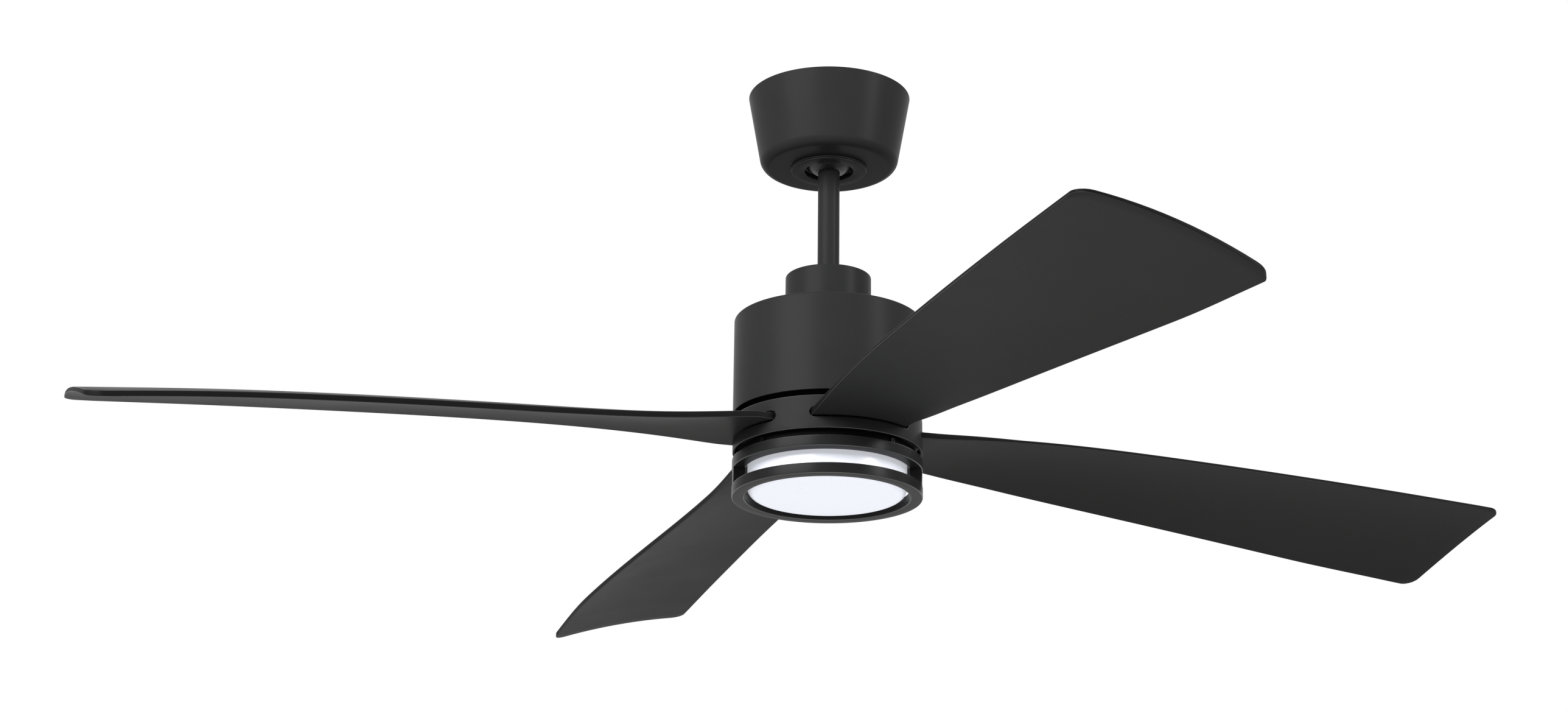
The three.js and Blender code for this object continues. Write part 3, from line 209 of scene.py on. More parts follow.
def roughened(rough, amount, change):
    """A roughness that goes from less to more by a change, as amount goes from 0 to 1."""
    return rough - change + amount * (2 * change)


def grained(tree, place, size, detail=2.0):
    """Noise whose lumps have a size in metres."""
    return tree.node("TexNoise", inputs={"Vector": place, "Scale": 1 / size, "Detail": detail}, output="Fac")


def bumped(tree, height, depth):
    """A normal for a surface that rises by a depth, as height goes from 0 to 1."""
    return tree.node("Bump", inputs={"Strength": 1.0, "Distance": depth, "Height": height})


def zinc_plate(tree, place, shade, rough):
    cloud = grained(tree, place, size=6 * mm, detail=4.0)
    fine = grained(tree, place, size=0.5 * mm)
    return {
        "Base Color": varied(tree, shade, cloud, change=0.2),
        "Roughness": roughened(rough, cloud, change=0.08),
        "Normal": bumped(tree, fine, depth=0.01 * mm),
    }


def dress(node, material):
    """Gives a CAD node its finish."""
    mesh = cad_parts[node].data
    mesh.materials.clear()
    mesh.materials.append(material)


dull_zinc = finish("dull_zinc_sheet", (0.2, 0.205, 0.21), rough=0.52, build=zinc_plate, metallic=1.0)
dress("hanger_bracket", dull_zinc)


# Receiver box: the radio that takes the wall control's orders, a moulded grey case.
# It is clipped under the bracket's plate.
def moulded(tree, place, shade, rough):
    grain = grained(tree, place, size=0.45 * mm)
    cloud = grained(tree, place, size=18 * mm, detail=3.0)
    return {
        "Base Color": varied(tree, shade, cloud, change=0.06),
        "Roughness": roughened(rough, cloud, change=0.04),
        "Normal": bumped(tree, grain, depth=0.02 * mm),
    }


grey_case = finish("grey_case", (0.09, 0.094, 0.1), rough=0.55, build=moulded)
dress("receiver_box", grey_case)

# Canopy: a spun steel cone that hides the bracket, open at the ceiling, in matt black powder coat.
# Two screws hold it up to the bracket. The stepped trim ring under it covers their heads.
canopy_low_radius = 66.8 * mm
canopy_fillet = 10 * mm
canopy_wall = 1.5 * mm
canopy_hole = 27 * mm
drum_steps = 240
weld_distance = 1e-6
sliver_length = 1e-7


def arcs(corners, steps=7):
    """The closed outline through corners (x, y, fillet), with each fillet as an arc."""
    points = []
    for i, (x, y, *fillet) in enumerate(corners):
        corner = Vector((x, y))
        radius = fillet[0] if fillet else 0
        if not radius:
            points.append(corner)
            continue
        back = (Vector(corners[i - 1][:2]) - corner).normalized()
        onward = (Vector(corners[(i + 1) % len(corners)][:2]) - corner).normalized()
        half_angle = back.angle(onward) / 2
        centre = corner + (back + onward).normalized() * radius / math.sin(half_angle)
        start = corner + back * radius / math.tan(half_angle) - centre
        end = corner + onward * radius / math.tan(half_angle) - centre
        turn = math.atan2(start.cross(end), start.dot(end))
        for k in range(steps + 1):
            points.append(centre + Matrix.Rotation(turn * k / steps, 2) @ start)
    return points


def finished_mesh(name, shape, sharp_degrees=32):
    """A mesh from a bmesh, with its faces outwards and smooth but for its sharp edges."""
    bmesh.ops.remove_doubles(shape, verts=shape.verts, dist=weld_distance)
    bmesh.ops.dissolve_degenerate(shape, edges=shape.edges, dist=sliver_length)
    bmesh.ops.recalc_face_normals(shape, faces=shape.faces)
    mesh = bpy.data.meshes.new(name)
    shape.to_mesh(mesh)
    shape.free()
    mesh.shade_smooth()
    mesh.set_sharp_from_angle(angle=math.radians(sharp_degrees))
    return mesh


def turn_outline(shape, points, steps):
    """Turns a closed outline of radius and height about Z. A stretch on the axis makes no faces."""
    rings = []
    for k in range(steps):
        turn = 2 * math.pi * k / steps
        rings.append([shape.verts.new((x * math.cos(turn), x * math.sin(turn), z)) for x, z in points])
    for k in range(steps):
        here, there = rings[k], rings[(k + 1) % steps]
        for i in range(len(points)):
            j = (i + 1) % len(points)
            if points[i][0] > 0 or points[j][0] > 0:
                shape.faces.new((here[i], here[j], there[j], there[i]))


def turned(name, corners, steps=drum_steps, fillet_steps=7):
    """A mesh turned about Z from corners of radius, height and fillet."""
    shape = bmesh.new()
    turn_outline(shape, arcs(corners, fillet_steps), steps)
    return finished_mesh(name, shape)


def piece(name, mesh, material, body, slot, *nodes):
    """An object of the mesh with its finish, which rides on a body and stands for CAD nodes."""
    made = bpy.data.objects.new(name, mesh)
    bpy.context.scene.collection.objects.link(made)
    mesh.materials.clear()
    mesh.materials.append(material)
    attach(made, body)
    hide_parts(*nodes)


def edged(mesh, material, chosen):
    """Gives the faces that chosen picks, by their middle and normal, a second finish."""
    mesh.materials.append(material)
    second = len(mesh.materials) - 1
    for face in mesh.polygons:
        if chosen(face.center, face.normal):
            face.material_index = second


def leaning(least, most):
    """Picks faces by how much of their normal is along Z, up or down."""
    return lambda middle, normal: least <= abs(normal.z) < most


def powder_coat(tree, place, shade, rough):
    peel = grained(tree, place, size=1.4 * mm)
    dust = grained(tree, place, size=0.35 * mm)
    cloud = grained(tree, place, size=40 * mm, detail=3.0)
    return {
        "Base Color": varied(tree, shade, cloud, change=0.1),
        "Roughness": roughened(rough, cloud, change=0.05),
        "Normal": bumped(tree, peel * 0.7 + dust * 0.3, depth=0.035 * mm),
    }


coat_shade = (0.0175, 0.0176, 0.0176)
black_coat = finish("black_powder_coat", coat_shade, rough=0.36, build=powder_coat, specular=0.023)
coat_edge = finish("powder_coat_edge", coat_shade, rough=0.3, build=powder_coat, specular=0.6)
zinc = finish("zinc_plate", (0.44, 0.45, 0.46), rough=0.34, build=zinc_plate, metallic=1.0)

canopy_low, canopy_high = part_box("canopy")
slant = (canopy_high.x - canopy_low_radius) / (canopy_high.z - canopy_low.z)
base_height = canopy_low.z + canopy_wall


def canopy_inside(height):
    """The radius of the canopy's inner side at a height."""
    return canopy_high.x + slant * (height - canopy_high.z) - canopy_wall


piece("canopy_shell", turned("canopy_shell", [
    (canopy_high.x, canopy_high.z),
    (canopy_low_radius, canopy_low.z, canopy_fillet),
    (canopy_hole, canopy_low.z),
    (canopy_hole, base_height),
    (canopy_inside(base_height), base_height, canopy_fillet - canopy_wall),
    (canopy_inside(canopy_high.z), canopy_high.z),
], fillet_steps=14), black_coat, "canopy", "black_paint", "canopy")

trim_hole = 24.3 * mm
trim_step_width = 0.6 * mm
trim_step_height = 1.6 * mm
trim_groove = 3 * mm
trim_edge = 0.3 * mm
rounded = leaning(least=0.2, most=0.95)
low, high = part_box("canopy_trim_ring")
groove_height = low.z + trim_step_height + trim_edge
trim = turned("trim_ring", [
    (trim_hole, low.z, trim_edge),
    (high.x - trim_step_width, low.z, trim_edge),
    (high.x - trim_step_width, low.z + trim_step_height),
    (high.x, low.z + trim_step_height, trim_edge),
    (high.x, high.z),
    (high.x - trim_groove, high.z),
    (high.x - trim_groove, groove_height),
    (trim_hole + trim_groove, groove_height),
    (trim_hole + trim_groove, high.z),
    (trim_hole, high.z),
], fillet_steps=3)
piece("trim_ring", trim, black_coat, "canopy", "black_paint", "canopy_trim_ring")
edged(trim, coat_edge, rounded)
for number in (1, 2):
    dress(f"canopy_screw_{number}", zinc)


# Hanger ball: an iron casting, bored for the rod and cut flat at both ends, black with a rough skin.
# It sits in the bracket's socket and lets the fan hang plumb. A pin and a set screw hold the rod.
def casting(tree, place, shade, rough):
    sand = grained(tree, place, size=1.1 * mm, detail=5.0)
    lumps = grained(tree, place, size=5 * mm, detail=3.0)
    return {
        "Base Color": varied(tree, shade, sand, change=0.35),
        "Roughness": roughened(rough, sand, change=0.15),
        "Normal": bumped(tree, sand * 0.6 + lumps * 0.4, depth=0.45 * mm),
    }


cast_black = finish("black_casting", (0.008, 0.008, 0.008), rough=0.3, build=casting, specular=0.4)
ball_radius = 30 * mm
ball_end_width = 1.6 * mm
ball_bore_spare = 0.3 * mm
ball_steps = 28
rod_steps = 96
low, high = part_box("hanger_ball")
rod_low, rod_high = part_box("downrod")
ball_bore = rod_high.x + ball_bore_spare
end_radius = ball_bore + ball_end_width
ball_centre = low.z + math.sqrt(ball_radius ** 2 - end_radius ** 2)
crown_radius = math.sqrt(ball_radius ** 2 - (high.z - ball_centre) ** 2)
first = math.atan2(low.z - ball_centre, end_radius)
last = math.atan2(high.z - ball_centre, crown_radius)
angles = [first + (last - first) * k / ball_steps for k in range(1, ball_steps)]
piece("ball_casting", turned("ball_casting", [
    (ball_bore, low.z),
    (end_radius, low.z),
    *[(ball_radius * math.cos(a), ball_centre + ball_radius * math.sin(a)) for a in angles],
    (crown_radius, high.z),
    (ball_bore, high.z),
], steps=rod_steps), cast_black, "hanging", "cast_iron", "hanger_ball")
dress("ball_pin", zinc)
dress("ball_set_screw", zinc)

# Downrod: half-inch steel pipe with a powder coat, from the ball down to the motor's yoke.
# The motor's lead runs down inside it.
rod_wall = 2.2 * mm
piece("downrod_pipe", turned("downrod_pipe", [
    (rod_high.x, rod_low.z),
    (rod_high.x, rod_high.z),
    (rod_high.x - rod_wall, rod_high.z),
    (rod_high.x - rod_wall, rod_low.z),
], steps=rod_steps), black_coat, "hanging", "black_paint", "downrod")
sheath = finish("lead_sheath", (0.7, 0.7, 0.66), rough=0.5, build=moulded)
dress("motor_lead", sheath)

# Motor yoke: a casting that joins the rod to the motor's housing and shaft.
# A pin with a hairpin clip and a set screw hold the rod in its collar.
dress("motor_yoke", cast_black)
for node in ("yoke_pin", "yoke_clip", "yoke_set_screw"):
    dress(node, zinc)

# Coupling cover: a shallow pressed cap over the yoke, with the same powder coat.
# It slides on the rod and rests on the housing.
cover_wall = 1.2 * mm
cover_fillet = 1.5 * mm
cover_hole_spare = 0.6 * mm
low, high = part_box("coupling_cover")
piece("coupling_cap", turned("coupling_cap", [
    (high.x, low.z),
    (high.x, high.z, cover_fillet),
    (rod_high.x + cover_hole_spare, high.z),
    (rod_high.x + cover_hole_spare, high.z - cover_wall),
    (high.x - cover_wall, high.z - cover_wall, cover_fillet / 2),
    (high.x - cover_wall, low.z),
]), black_coat, "coupling_cover", "black_paint", "coupling_cover")

# Motor housing: a deep drum of steel sheet, closed on top and open below, powder coated.
# Three screws hold its top to the yoke's flange.
housing_wall = 1.5 * mm
housing_fillet = 2 * mm
housing_hole = 17.3 * mm
low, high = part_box("motor_housing")
piece("housing_drum", turned("housing_drum", [
    (high.x, low.z),
    (high.x, high.z, housing_fillet),
    (housing_hole, high.z),
    (housing_hole, high.z - housing_wall),
    (high.x - housing_wall, high.z - housing_wall, housing_fillet - housing_wall),
    (high.x - housing_wall, low.z),
]), black_coat, "hanging", "black_paint", "motor_housing")
for number in (1, 2, 3):
    dress(f"housing_screw_{number}", zinc)


# Motor: a hollow steel shaft and a wound stator that stay still inside a turning case.
# The case is two aluminium castings on two ball bearings, with the magnets round its inside.
def banded(tree, place, size, distortion):
    """Waves along Z. Their length goes with the size, and distortion makes them wander."""
    return tree.node("TexWave", {"bands_direction": "Z"}, {
        "Vector": place, "Scale": 1 / size, "Distortion": distortion}, output="Fac")


def stacked_sheets(tree, place, shade, rough):
    sheet = banded(tree, place, size=6.3 * mm, distortion=0.0)
    return {
        "Base Color": varied(tree, shade, sheet, change=0.3),
        "Normal": bumped(tree, sheet, depth=0.1 * mm),
    }


def wound(tree, place, shade, rough):
    strand = banded(tree, place, size=4 * mm, distortion=3.0)
    return {
        "Base Color": varied(tree, shade, strand, change=0.35),
        "Normal": bumped(tree, strand, depth=0.3 * mm),
    }


def cast_alloy(tree, place, shade, rough):
    skin = grained(tree, place, size=0.8 * mm, detail=4.0)
    cloud = grained(tree, place, size=12 * mm, detail=3.0)
    return {
        "Base Color": varied(tree, shade, cloud, change=0.1),
        "Roughness": roughened(rough, cloud, change=0.08),
        "Normal": bumped(tree, skin, depth=0.05 * mm),
    }


steel_sheets = finish("stacked_sheets", (0.3, 0.3, 0.31), rough=0.4, build=stacked_sheets, metallic=1.0)
enamelled_wire = finish("enamelled_wire", (0.5, 0.17, 0.06), rough=0.3, build=wound, metallic=1.0)
case_black = finish("blackened_alloy", (0.006, 0.006, 0.006), rough=0.6, build=cast_alloy, specular=0.1)
dress("motor_shaft", zinc)
dress("stator_core", steel_sheets)
dress("stator_windings", enamelled_wire)
dress("magnet_ring", steel_sheets)
for node in ("rotor_case_upper", "rotor_case_lower", "ring_carrier"):
    dress(node, case_black)
for node in ("bearing_upper", "bearing_lower"):
    dress(node, zinc)

# Rotor ring: a thin band under the housing that turns with the blades. Each blade leaves it
# through a slot with round ends. Pressed steel with the same powder coat, screwed to its carrier.
ring_wall = 2 * mm
slot_edge = 0.45 * mm
slot_height = 10.7 * mm
slot_half_width = 51 * mm
sector_margin = 5 * mm
blade_count = 4
first_blade = math.radians(23.6)
strips_per_slot = 60


def flat_wall(name, outlines, thickness, edge):
    """A plate in X and Y, half its thickness to each side of z = 0, with rounded edges."""
    curve = bpy.data.curves.new(name, "CURVE")
    curve.dimensions = "2D"
    curve.fill_mode = "BOTH"
    curve.extrude = thickness / 2 - edge
    curve.bevel_depth = edge
    curve.bevel_resolution = 2
    curve.offset = -edge
    for points in outlines:
        spline = curve.splines.new("POLY")
        spline.points.add(len(points) - 1)
        for target, (x, y) in zip(spline.points, points):
            target.co = (x, y, 0, 1)
        spline.use_cyclic_u = True
    drawn = bpy.data.objects.new(name, curve)
    bpy.context.scene.collection.objects.link(drawn)
    bpy.context.view_layer.update()
    graph = bpy.context.evaluated_depsgraph_get()
    shape = bmesh.new()
    shape.from_mesh(bpy.data.meshes.new_from_object(drawn.evaluated_get(graph)))
    bmesh.ops.remove_doubles(shape, verts=shape.verts, dist=sliver_length)
    bpy.data.objects.remove(drawn)
    return shape


def cut_across(shape, place, side=1, clear=False):
    """Cuts a shape where X is place, and can clear what lies beyond the cut on that side."""
    bmesh.ops.bisect_plane(
        shape, geom=[*shape.verts, *shape.edges, *shape.faces], dist=sliver_length,
        plane_co=(place, 0, 0), plane_no=(side, 0, 0), clear_outer=clear)


low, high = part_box("rotor_ring")
ring_radius = high.x
slot_middle = (low.z + high.z) / 2
half_height = (high.z - low.z) / 2
half_sector = math.pi * ring_radius / blade_count
slot_fillet = slot_height / 2 - weld_distance
slot_corners = [(x * slot_half_width, y * slot_height / 2, slot_fillet) for x, y in corner_signs]
wall = flat_wall("rotor_band", [
    [(x * (half_sector + sector_margin), y * half_height) for x, y in corner_signs],
    [(ring_radius * math.asin(x / ring_radius), y) for x, y in reversed(arcs(slot_corners, steps=12))],
], ring_wall, slot_edge)
for k in range(1, strips_per_slot):
    cut_across(wall, half_sector * (2 * k / strips_per_slot - 1))
for side in (-1, 1):
    cut_across(wall, side * half_sector, side, clear=True)
sector = bpy.data.meshes.new("sector")
wall.to_mesh(sector)
wall.free()
whole = bmesh.new()
for k in range(blade_count):
    turn = first_blade + 2 * math.pi * k / blade_count
    before = len(whole.verts)
    whole.from_mesh(sector)
    whole.verts.ensure_lookup_table()
    for vertex in whole.verts[before:]:
        angle = turn + vertex.co.x / ring_radius
        radius = ring_radius - ring_wall / 2 + vertex.co.z
        vertex.co = (radius * math.cos(angle), radius * math.sin(angle), slot_middle + vertex.co.y)
band = finished_mesh("rotor_band", whole)
piece("rotor_band", band, black_coat, "rotor", "black_paint", "rotor_ring")
edged(band, coat_edge, rounded)
black_oxide = finish("black_oxide", (0.03, 0.03, 0.031), rough=0.35, build=zinc_plate, metallic=1.0)
for number in range(1, blade_count + 1):
    dress(f"ring_screw_{number}", black_oxide)

# Blades: one moulding each, from its level root inside the ring out to its round-cornered tip.
# Matt black glass-filled plastic. Just outside the ring the blade twists, then droops and sweeps.
tip_radius = 700.3 * mm
root_radius = 46 * mm
slot_radius = 74 * mm
root_half_width = 37 * mm
leading_at_slot = 49 * mm
leading_swell = 84 * mm
leading_swell_share = 0.52
leading_at_tip = 114 * mm
trailing_at_slot = 47.5 * mm
trailing_neck = 45 * mm
trailing_neck_share = 0.2
trailing_swell = 54.5 * mm
trailing_swell_share = 0.76
trailing_at_tip = 46 * mm
root_thickness = 6.2 * mm
leading_thickness = 3.3 * mm
trailing_thickness = 6.2 * mm
tip_thickness_share = 0.88
droop = 39 * mm
droop_curve_share = 0.42
pitch = math.radians(12.6)
tip_twist = math.radians(2.5)
tip_twist_power = 4
twist_length = 85 * mm
twist_power = 1.2
camber = 6 * mm
tip_bulge = 5 * mm
tip_corner = 14 * mm
blade_edge = 0.8 * mm
edge_shares = (0, 0.08, 0.3, 0.62, 1)
corner_steps = 6
middle_columns = 12
blade_rows = 56
row_spacing_power = 1.25
blade_sharp_degrees = 40
# Faces leaning less than this get painted shade on the blades' upright edges.
edge_face_lean = 0.4
# Faces leaning between the two limits are the rounded rims, which get a painted highlight.
rim_lean = 0.78


def smooth_through(pairs):
    """A smooth function through pairs of place and value."""
    def slope(i):
        (x0, y0), (x1, y1) = pairs[max(i - 1, 0)], pairs[min(i + 1, len(pairs) - 1)]
        return (y1 - y0) / (x1 - x0)

    def value(place):
        i = 0
        while i < len(pairs) - 2 and place > pairs[i + 1][0]:
            i += 1
        (x0, y0), (x1, y1) = pairs[i], pairs[i + 1]
        span = x1 - x0
        s = min(max((place - x0) / span, 0), 1)
        return (y0 * (1 + 2 * s) * (1 - s) ** 2 + slope(i) * span * s * (1 - s) ** 2
                + y1 * s * s * (3 - 2 * s) - slope(i + 1) * span * s * s * (1 - s))

    return value


def along(share):
    """The radius at a share of the way from the slot to the tip."""
    return slot_radius + (tip_radius - slot_radius) * share


leading = smooth_through([
    (root_radius, -root_half_width),
    (slot_radius, -leading_at_slot),
    (along(leading_swell_share), -leading_swell),
    (tip_radius, -leading_at_tip),
])
trailing = smooth_through([
    (root_radius, root_half_width),
    (slot_radius, trailing_at_slot),
    (along(trailing_neck_share), trailing_neck),
    (along(trailing_swell_share), trailing_swell),
    (tip_radius, trailing_at_tip),
])
tip_chord = trailing(tip_radius) - leading(tip_radius)
root_bottom = slot_middle - root_thickness / 2


def blend_of(a, b, share):
    """A value a share of the way from a to b."""
    return a + (b - a) * share


def blade_underside(radius, across):
    """The underside's height at a radius and a share of the way from leading to trailing edge."""
    out = max(radius - ring_radius, 0)
    share = out / (tip_radius - ring_radius)
    ease = 1 - math.exp(-((out / twist_length) ** twist_power))
    turn = pitch * ease + tip_twist * share ** tip_twist_power
    drop = droop * ((1 - droop_curve_share) * share + droop_curve_share * share ** 2)
    chord = trailing(radius) - leading(radius)
    return (root_bottom - drop + (0.5 - across) * chord * math.tan(turn)
            + camber * ease * 4 * across * (1 - across))


def blade_thickness(radius, across):
    """The thickness at a radius and a share of the way across."""
    out = min(max((radius - ring_radius) / twist_length, 0), 1)
    share = min(max((radius - ring_radius) / (tip_radius - ring_radius), 0), 1)
    outer = blend_of(leading_thickness, trailing_thickness, across) * blend_of(1, tip_thickness_share, share)
    return blend_of(root_thickness, outer, out)


def blade_end(across):
    """The radius of the tip's rim at a share of the way across."""
    return tip_radius - tip_bulge * (2 * across - 1) ** 2


def rim_distance(radius, sideways, across):
    """How far a point lies inside the blade's rim, seen from above."""
    from_tip = blade_end(across) - radius
    from_side = min(sideways - leading(radius), trailing(radius) - sideways)
    if from_tip < tip_corner and from_side < tip_corner:
        return tip_corner - math.hypot(tip_corner - from_tip, tip_corner - from_side)
    return min(from_tip, from_side)


def blade_columns():
    """Shares of the way across, closer together at the rounded edges and corners."""
    edge = [blade_edge / tip_chord * share for share in edge_shares]
    turns = [math.pi / 2 * k / corner_steps for k in range(corner_steps + 1)]
    corner = [tip_corner / tip_chord * (1 - math.cos(turn)) for turn in turns]
    side = edge + [share for share in corner if share > edge[-1]]
    middle = [blend_of(side[-1], 1 - side[-1], k / middle_columns) for k in range(1, middle_columns)]
    return side + middle + [1 - share for share in reversed(side)]


def blade_radii(across):
    """The radii of a column's points, from the root to the tip's rounded edge."""
    inside = min(across, 1 - across) / (tip_corner / tip_chord)
    setback = tip_corner * (1 - math.sqrt(1 - (1 - inside) ** 2)) if inside < 1 else 0
    end = blade_end(across) - setback
    length = end - root_radius - blade_edge
    level = [root_radius + length * (k / blade_rows) ** row_spacing_power for k in range(blade_rows + 1)]
    return level + [end - blade_edge * share for share in reversed(edge_shares[:-1])]


def blade_mesh(name):
    """A blade along X: a grid for its underside, one for its upper side, and walls between them."""
    shape = bmesh.new()
    under, over = [], []
    for across in blade_columns():
        lower, upper = [], []
        for radius in blade_radii(across):
            sideways = blend_of(leading(radius), trailing(radius), across)
            inner = min(max(rim_distance(radius, sideways, across), 0), blade_edge)
            rounding = blade_edge - math.sqrt(blade_edge ** 2 - (blade_edge - inner) ** 2)
            height = blade_underside(radius, across)
            top = height + blade_thickness(radius, across)
            lower.append(shape.verts.new((radius, sideways, height + rounding)))
            upper.append(shape.verts.new((radius, sideways, top - rounding)))
        under.append(lower)
        over.append(upper)
    last_row, last_column = len(under[0]) - 1, len(under) - 1
    for grid in (under, over):
        for i in range(last_column):
            for j in range(last_row):
                shape.faces.new((grid[i][j], grid[i + 1][j], grid[i + 1][j + 1], grid[i][j + 1]))
    for j in range(last_row):
        for i in (0, last_column):
            shape.faces.new((under[i][j], under[i][j + 1], over[i][j + 1], over[i][j]))
    for i in range(last_column):
        for j in (0, last_row):
            shape.faces.new((under[i][j], under[i + 1][j], over[i + 1][j], over[i][j]))
    return finished_mesh(name, shape, blade_sharp_degrees)


def filled_plastic(tree, place, shade, rough):
    grain = grained(tree, place, size=0.5 * mm)
    skin = grained(tree, place, size=2.2 * mm, detail=3.0)
    cloud = grained(tree, place, size=55 * mm, detail=3.0)
    return {
        "Base Color": varied(tree, shade, cloud, change=0.1),
        "Roughness": roughened(rough, cloud, change=0.05),
        "Normal": bumped(tree, grain * 0.6 + skin * 0.4, depth=0.035 * mm),
    }


black_plastic = finish(
    "black_filled_plastic", (0.0165, 0.0166, 0.0166), rough=0.42, build=filled_plastic, specular=0.03)
# Painted shade: the blades' upright edge faces are darker than their sides.
blade_edge_painted_shade = finish(
    "painted_shade_blade_edge", (0.005, 0.005, 0.005), rough=0.5, build=filled_plastic, specular=0.03)
# Painted highlight: the rounded rims are lighter than the blade, with more gloss as well.
blade_rim_painted_highlight = finish("painted_highlight_blade_rim", (0.024, 0.024, 0.024), rough=0.36, build=filled_plastic, specular=0.25)
for number in range(1, blade_count + 1):
    mesh = blade_mesh(f"blade_moulding_{number}")
    mesh.transform(Matrix.Rotation(first_blade + 2 * math.pi * (number - 1) / blade_count, 4, "Z"))
    piece(f"blade_moulding_{number}", mesh, black_plastic, "rotor", "black_plastic", f"blade_{number}")
    # The rounded rims get the painted highlight.
    edged(mesh, blade_rim_painted_highlight, leaning(least=edge_face_lean, most=rim_lean))
    # The upright edge faces get the painted shade.
    edged(mesh, blade_edge_painted_shade, leaning(least=0, most=edge_face_lean))
    for screw in (1, 2):
        dress(f"blade_screw_{number}_{screw}", zinc)

# Light tray: a spun aluminium dish on the end of the shaft, held by a nut. The driver sits in it,
# and the lamp board is screwed under it.
alloy = finish("cast_alloy", (0.6, 0.6, 0.61), rough=0.42, build=cast_alloy, metallic=1.0)
for node in ("light_tray", "led_board"):
    dress(node, alloy)
dress("shaft_nut", zinc)
white_case = finish("white_case", (0.8, 0.8, 0.77), rough=0.5, build=moulded)
dress("led_driver", white_case)
for number in (1, 2, 3):
    dress(f"board_screw_{number}", zinc)

# Light cage: two rings joined by two posts, one aluminium casting with a smoother powder coat.
# Its neck goes over the tray, where four screws hold it. The neck lies in deep shade, and its upright faces
# are painted near black as painted shade.
cage_thickness = 12 * mm
cage_edge = 1.1 * mm
cage_upper_height = 10.8 * mm
cage_window_height = 15.6 * mm
cage_neck_radius = 84.3 * mm
cage_neck_wall = 2 * mm
cage_neck_height = 7.6 * mm
cage_tray_spare = 0.3 * mm
post_half_angle = math.radians(11)
post_inset = 0.5 * mm
post_steps = 10
neck_margin = 0.01 * mm
neck_lean = 0.5
cage_low, cage_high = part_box("light_cage")
cage_top = cage_high.z - cage_neck_height
upper_bottom = cage_top - cage_upper_height
lower_top = upper_bottom - cage_window_height
cage_inside = cage_high.x - cage_thickness
tray_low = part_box("light_tray")[0]
shoulder = tray_low.z - cage_tray_spare
cage = bmesh.new()
turn_outline(cage, arcs([
    (cage_inside, upper_bottom, cage_edge),
    (cage_high.x, upper_bottom, cage_edge),
    (cage_high.x, cage_top, cage_edge),
    (cage_neck_radius, cage_top),
    (cage_neck_radius, cage_high.z),
    (cage_neck_radius - cage_neck_wall, cage_high.z),
    (cage_neck_radius - cage_neck_wall, shoulder),
    (cage_inside, shoulder),
]), drum_steps)
turn_outline(cage, arcs([
    (cage_inside, cage_low.z, cage_edge),
    (cage_high.x, cage_low.z, cage_edge),
    (cage_high.x, lower_top, cage_edge),
    (cage_inside, lower_top, cage_edge),
]), drum_steps)


def post(shape, middle):
    """A bent block about an angle, from inside one ring to inside the other."""
    shares = [2 * k / post_steps - 1 for k in range(post_steps + 1)]
    rim = [(middle + post_half_angle * share, cage_high.x - post_inset) for share in shares]
    rim += [(middle - post_half_angle * share, cage_inside + post_inset) for share in shares]
    bottom, top = (
        [shape.verts.new((r * math.cos(a), r * math.sin(a), height)) for a, r in rim]
        for height in (lower_top - 2 * cage_edge, upper_bottom + 2 * cage_edge))
    for i in range(len(rim)):
        j = (i + 1) % len(rim)
        shape.faces.new((bottom[i], bottom[j], top[j], top[i]))
    shape.faces.new(bottom)
    shape.faces.new(top)


def on_neck(middle, normal):
    """Picks the upright faces of the cage's neck."""
    return middle.z > cage_top - neck_margin and abs(normal.z) < neck_lean


for middle in (0, math.pi):
    post(cage, middle)
satin_coat = finish(
    "satin_powder_coat", (0.012, 0.0121, 0.0121), rough=0.3, build=powder_coat, specular=0.042)
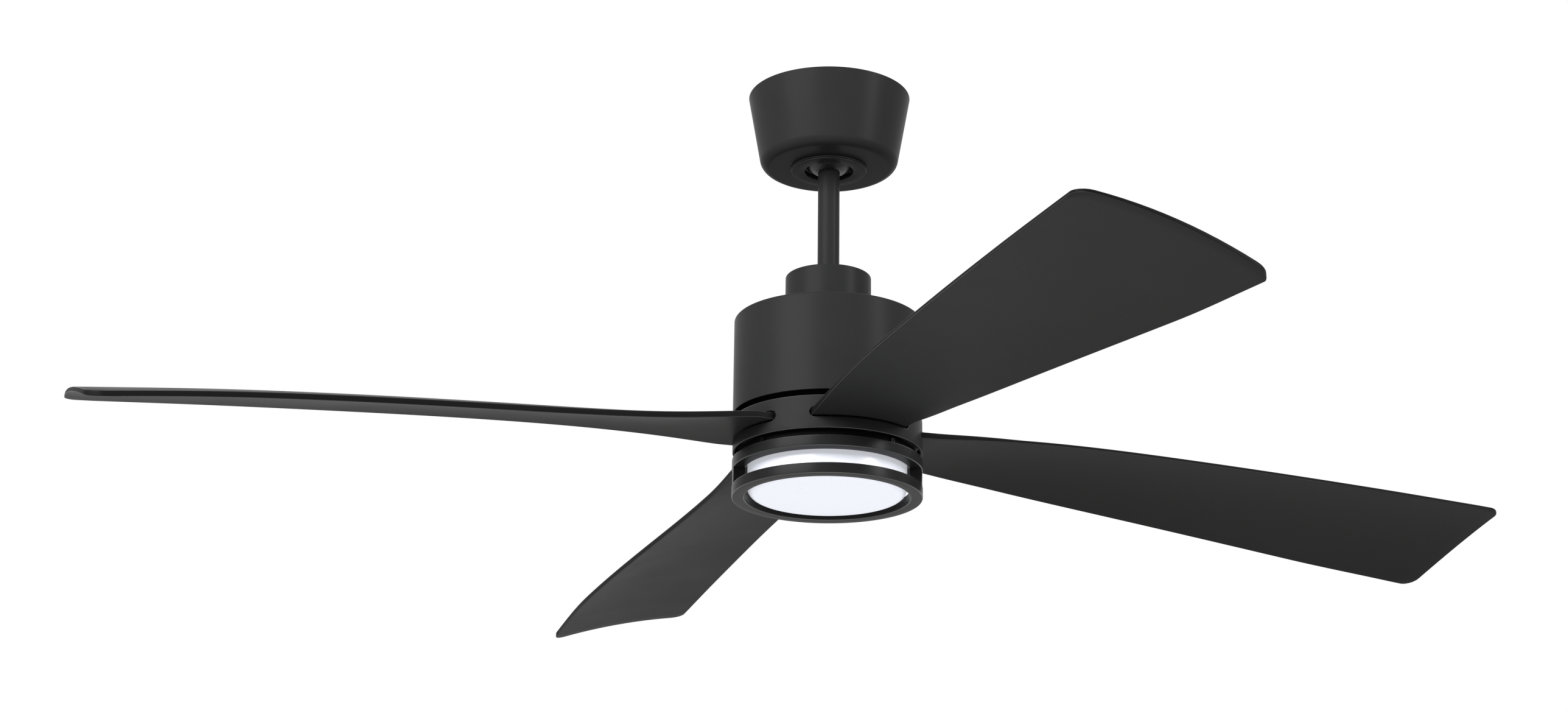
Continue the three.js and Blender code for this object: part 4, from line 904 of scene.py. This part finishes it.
# Painted shade: a near-black finish for the neck's upright faces, in the gap's deep shade.
neck_painted_shade = finish("neck_painted_shade", (0.003, 0.003, 0.003), rough=0.7, build=powder_coat, specular=0.02)
dull_oxide = finish("dull_oxide", (0.012, 0.012, 0.012), rough=0.5, build=zinc_plate, metallic=1.0)
cage_casting = finished_mesh("cage_casting", cage)
piece("cage_casting", cage_casting, satin_coat, "hanging", "black_paint", "light_cage")
edged(cage_casting, coat_edge, rounded)
# The neck's upright faces get the painted shade.
edged(cage_casting, neck_painted_shade, on_neck)
for number in (1, 2, 3, 4):
    dress(f"cage_screw_{number}", dull_oxide)

# Diffuser: a shallow cup of opal plastic with a soft lower edge, inside the cage's rings.
# Three lugs on its rim turn over lips in the cage and hold it. It glows with painted light that stands in
# for light scattered through the opal, and its wall, which the cage's rings shade, glows more than its face.
diffuser_radius = 76 * mm
diffuser_wall = 2 * mm
diffuser_edge = 9 * mm
# Painted light: glow colours for the face and the wall, standing in for light scattered through the opal.
face_painted_glow = (0.598, 0.611, 0.65)
wall_painted_glow = (0.915, 0.935, 0.995)
diffuser_low, diffuser_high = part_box("diffuser")


def opal_plastic(tree, place, shade, rough):
    cloud = grained(tree, place, size=30 * mm)
    height = tree.node("SeparateXYZ", inputs={"Vector": place}, output="Z")
    wall = tree.node("MapRange", inputs={
        "Value": height, "From Min": diffuser_low.z, "From Max": diffuser_low.z + diffuser_edge})
    return {
        "Base Color": varied(tree, shade, cloud, change=0.006),
        "Roughness": roughened(rough, cloud, change=0.02),
        # Painted light: the glow goes from the face's colour to the wall's over the soft lower edge.
        "Emission Color": mixed(tree, wall, face_painted_glow, wall_painted_glow),
    }


# Painted light: the opal's glow stands in for light scattered through it.
opal = finish("opal_plastic", (0.64, 0.66, 0.735), rough=0.28, build=opal_plastic, glow=0.4)
piece("diffuser_cup", turned("diffuser_cup", [
    (0, diffuser_low.z),
    (diffuser_radius, diffuser_low.z, diffuser_edge),
    (diffuser_radius, diffuser_high.z),
    (diffuser_radius - diffuser_wall, diffuser_high.z),
    (diffuser_radius - diffuser_wall, diffuser_low.z + diffuser_wall, diffuser_edge - diffuser_wall),
    (0, diffuser_low.z + diffuser_wall),
], fillet_steps=12), opal, "diffuser", "opal_plastic", "diffuser")
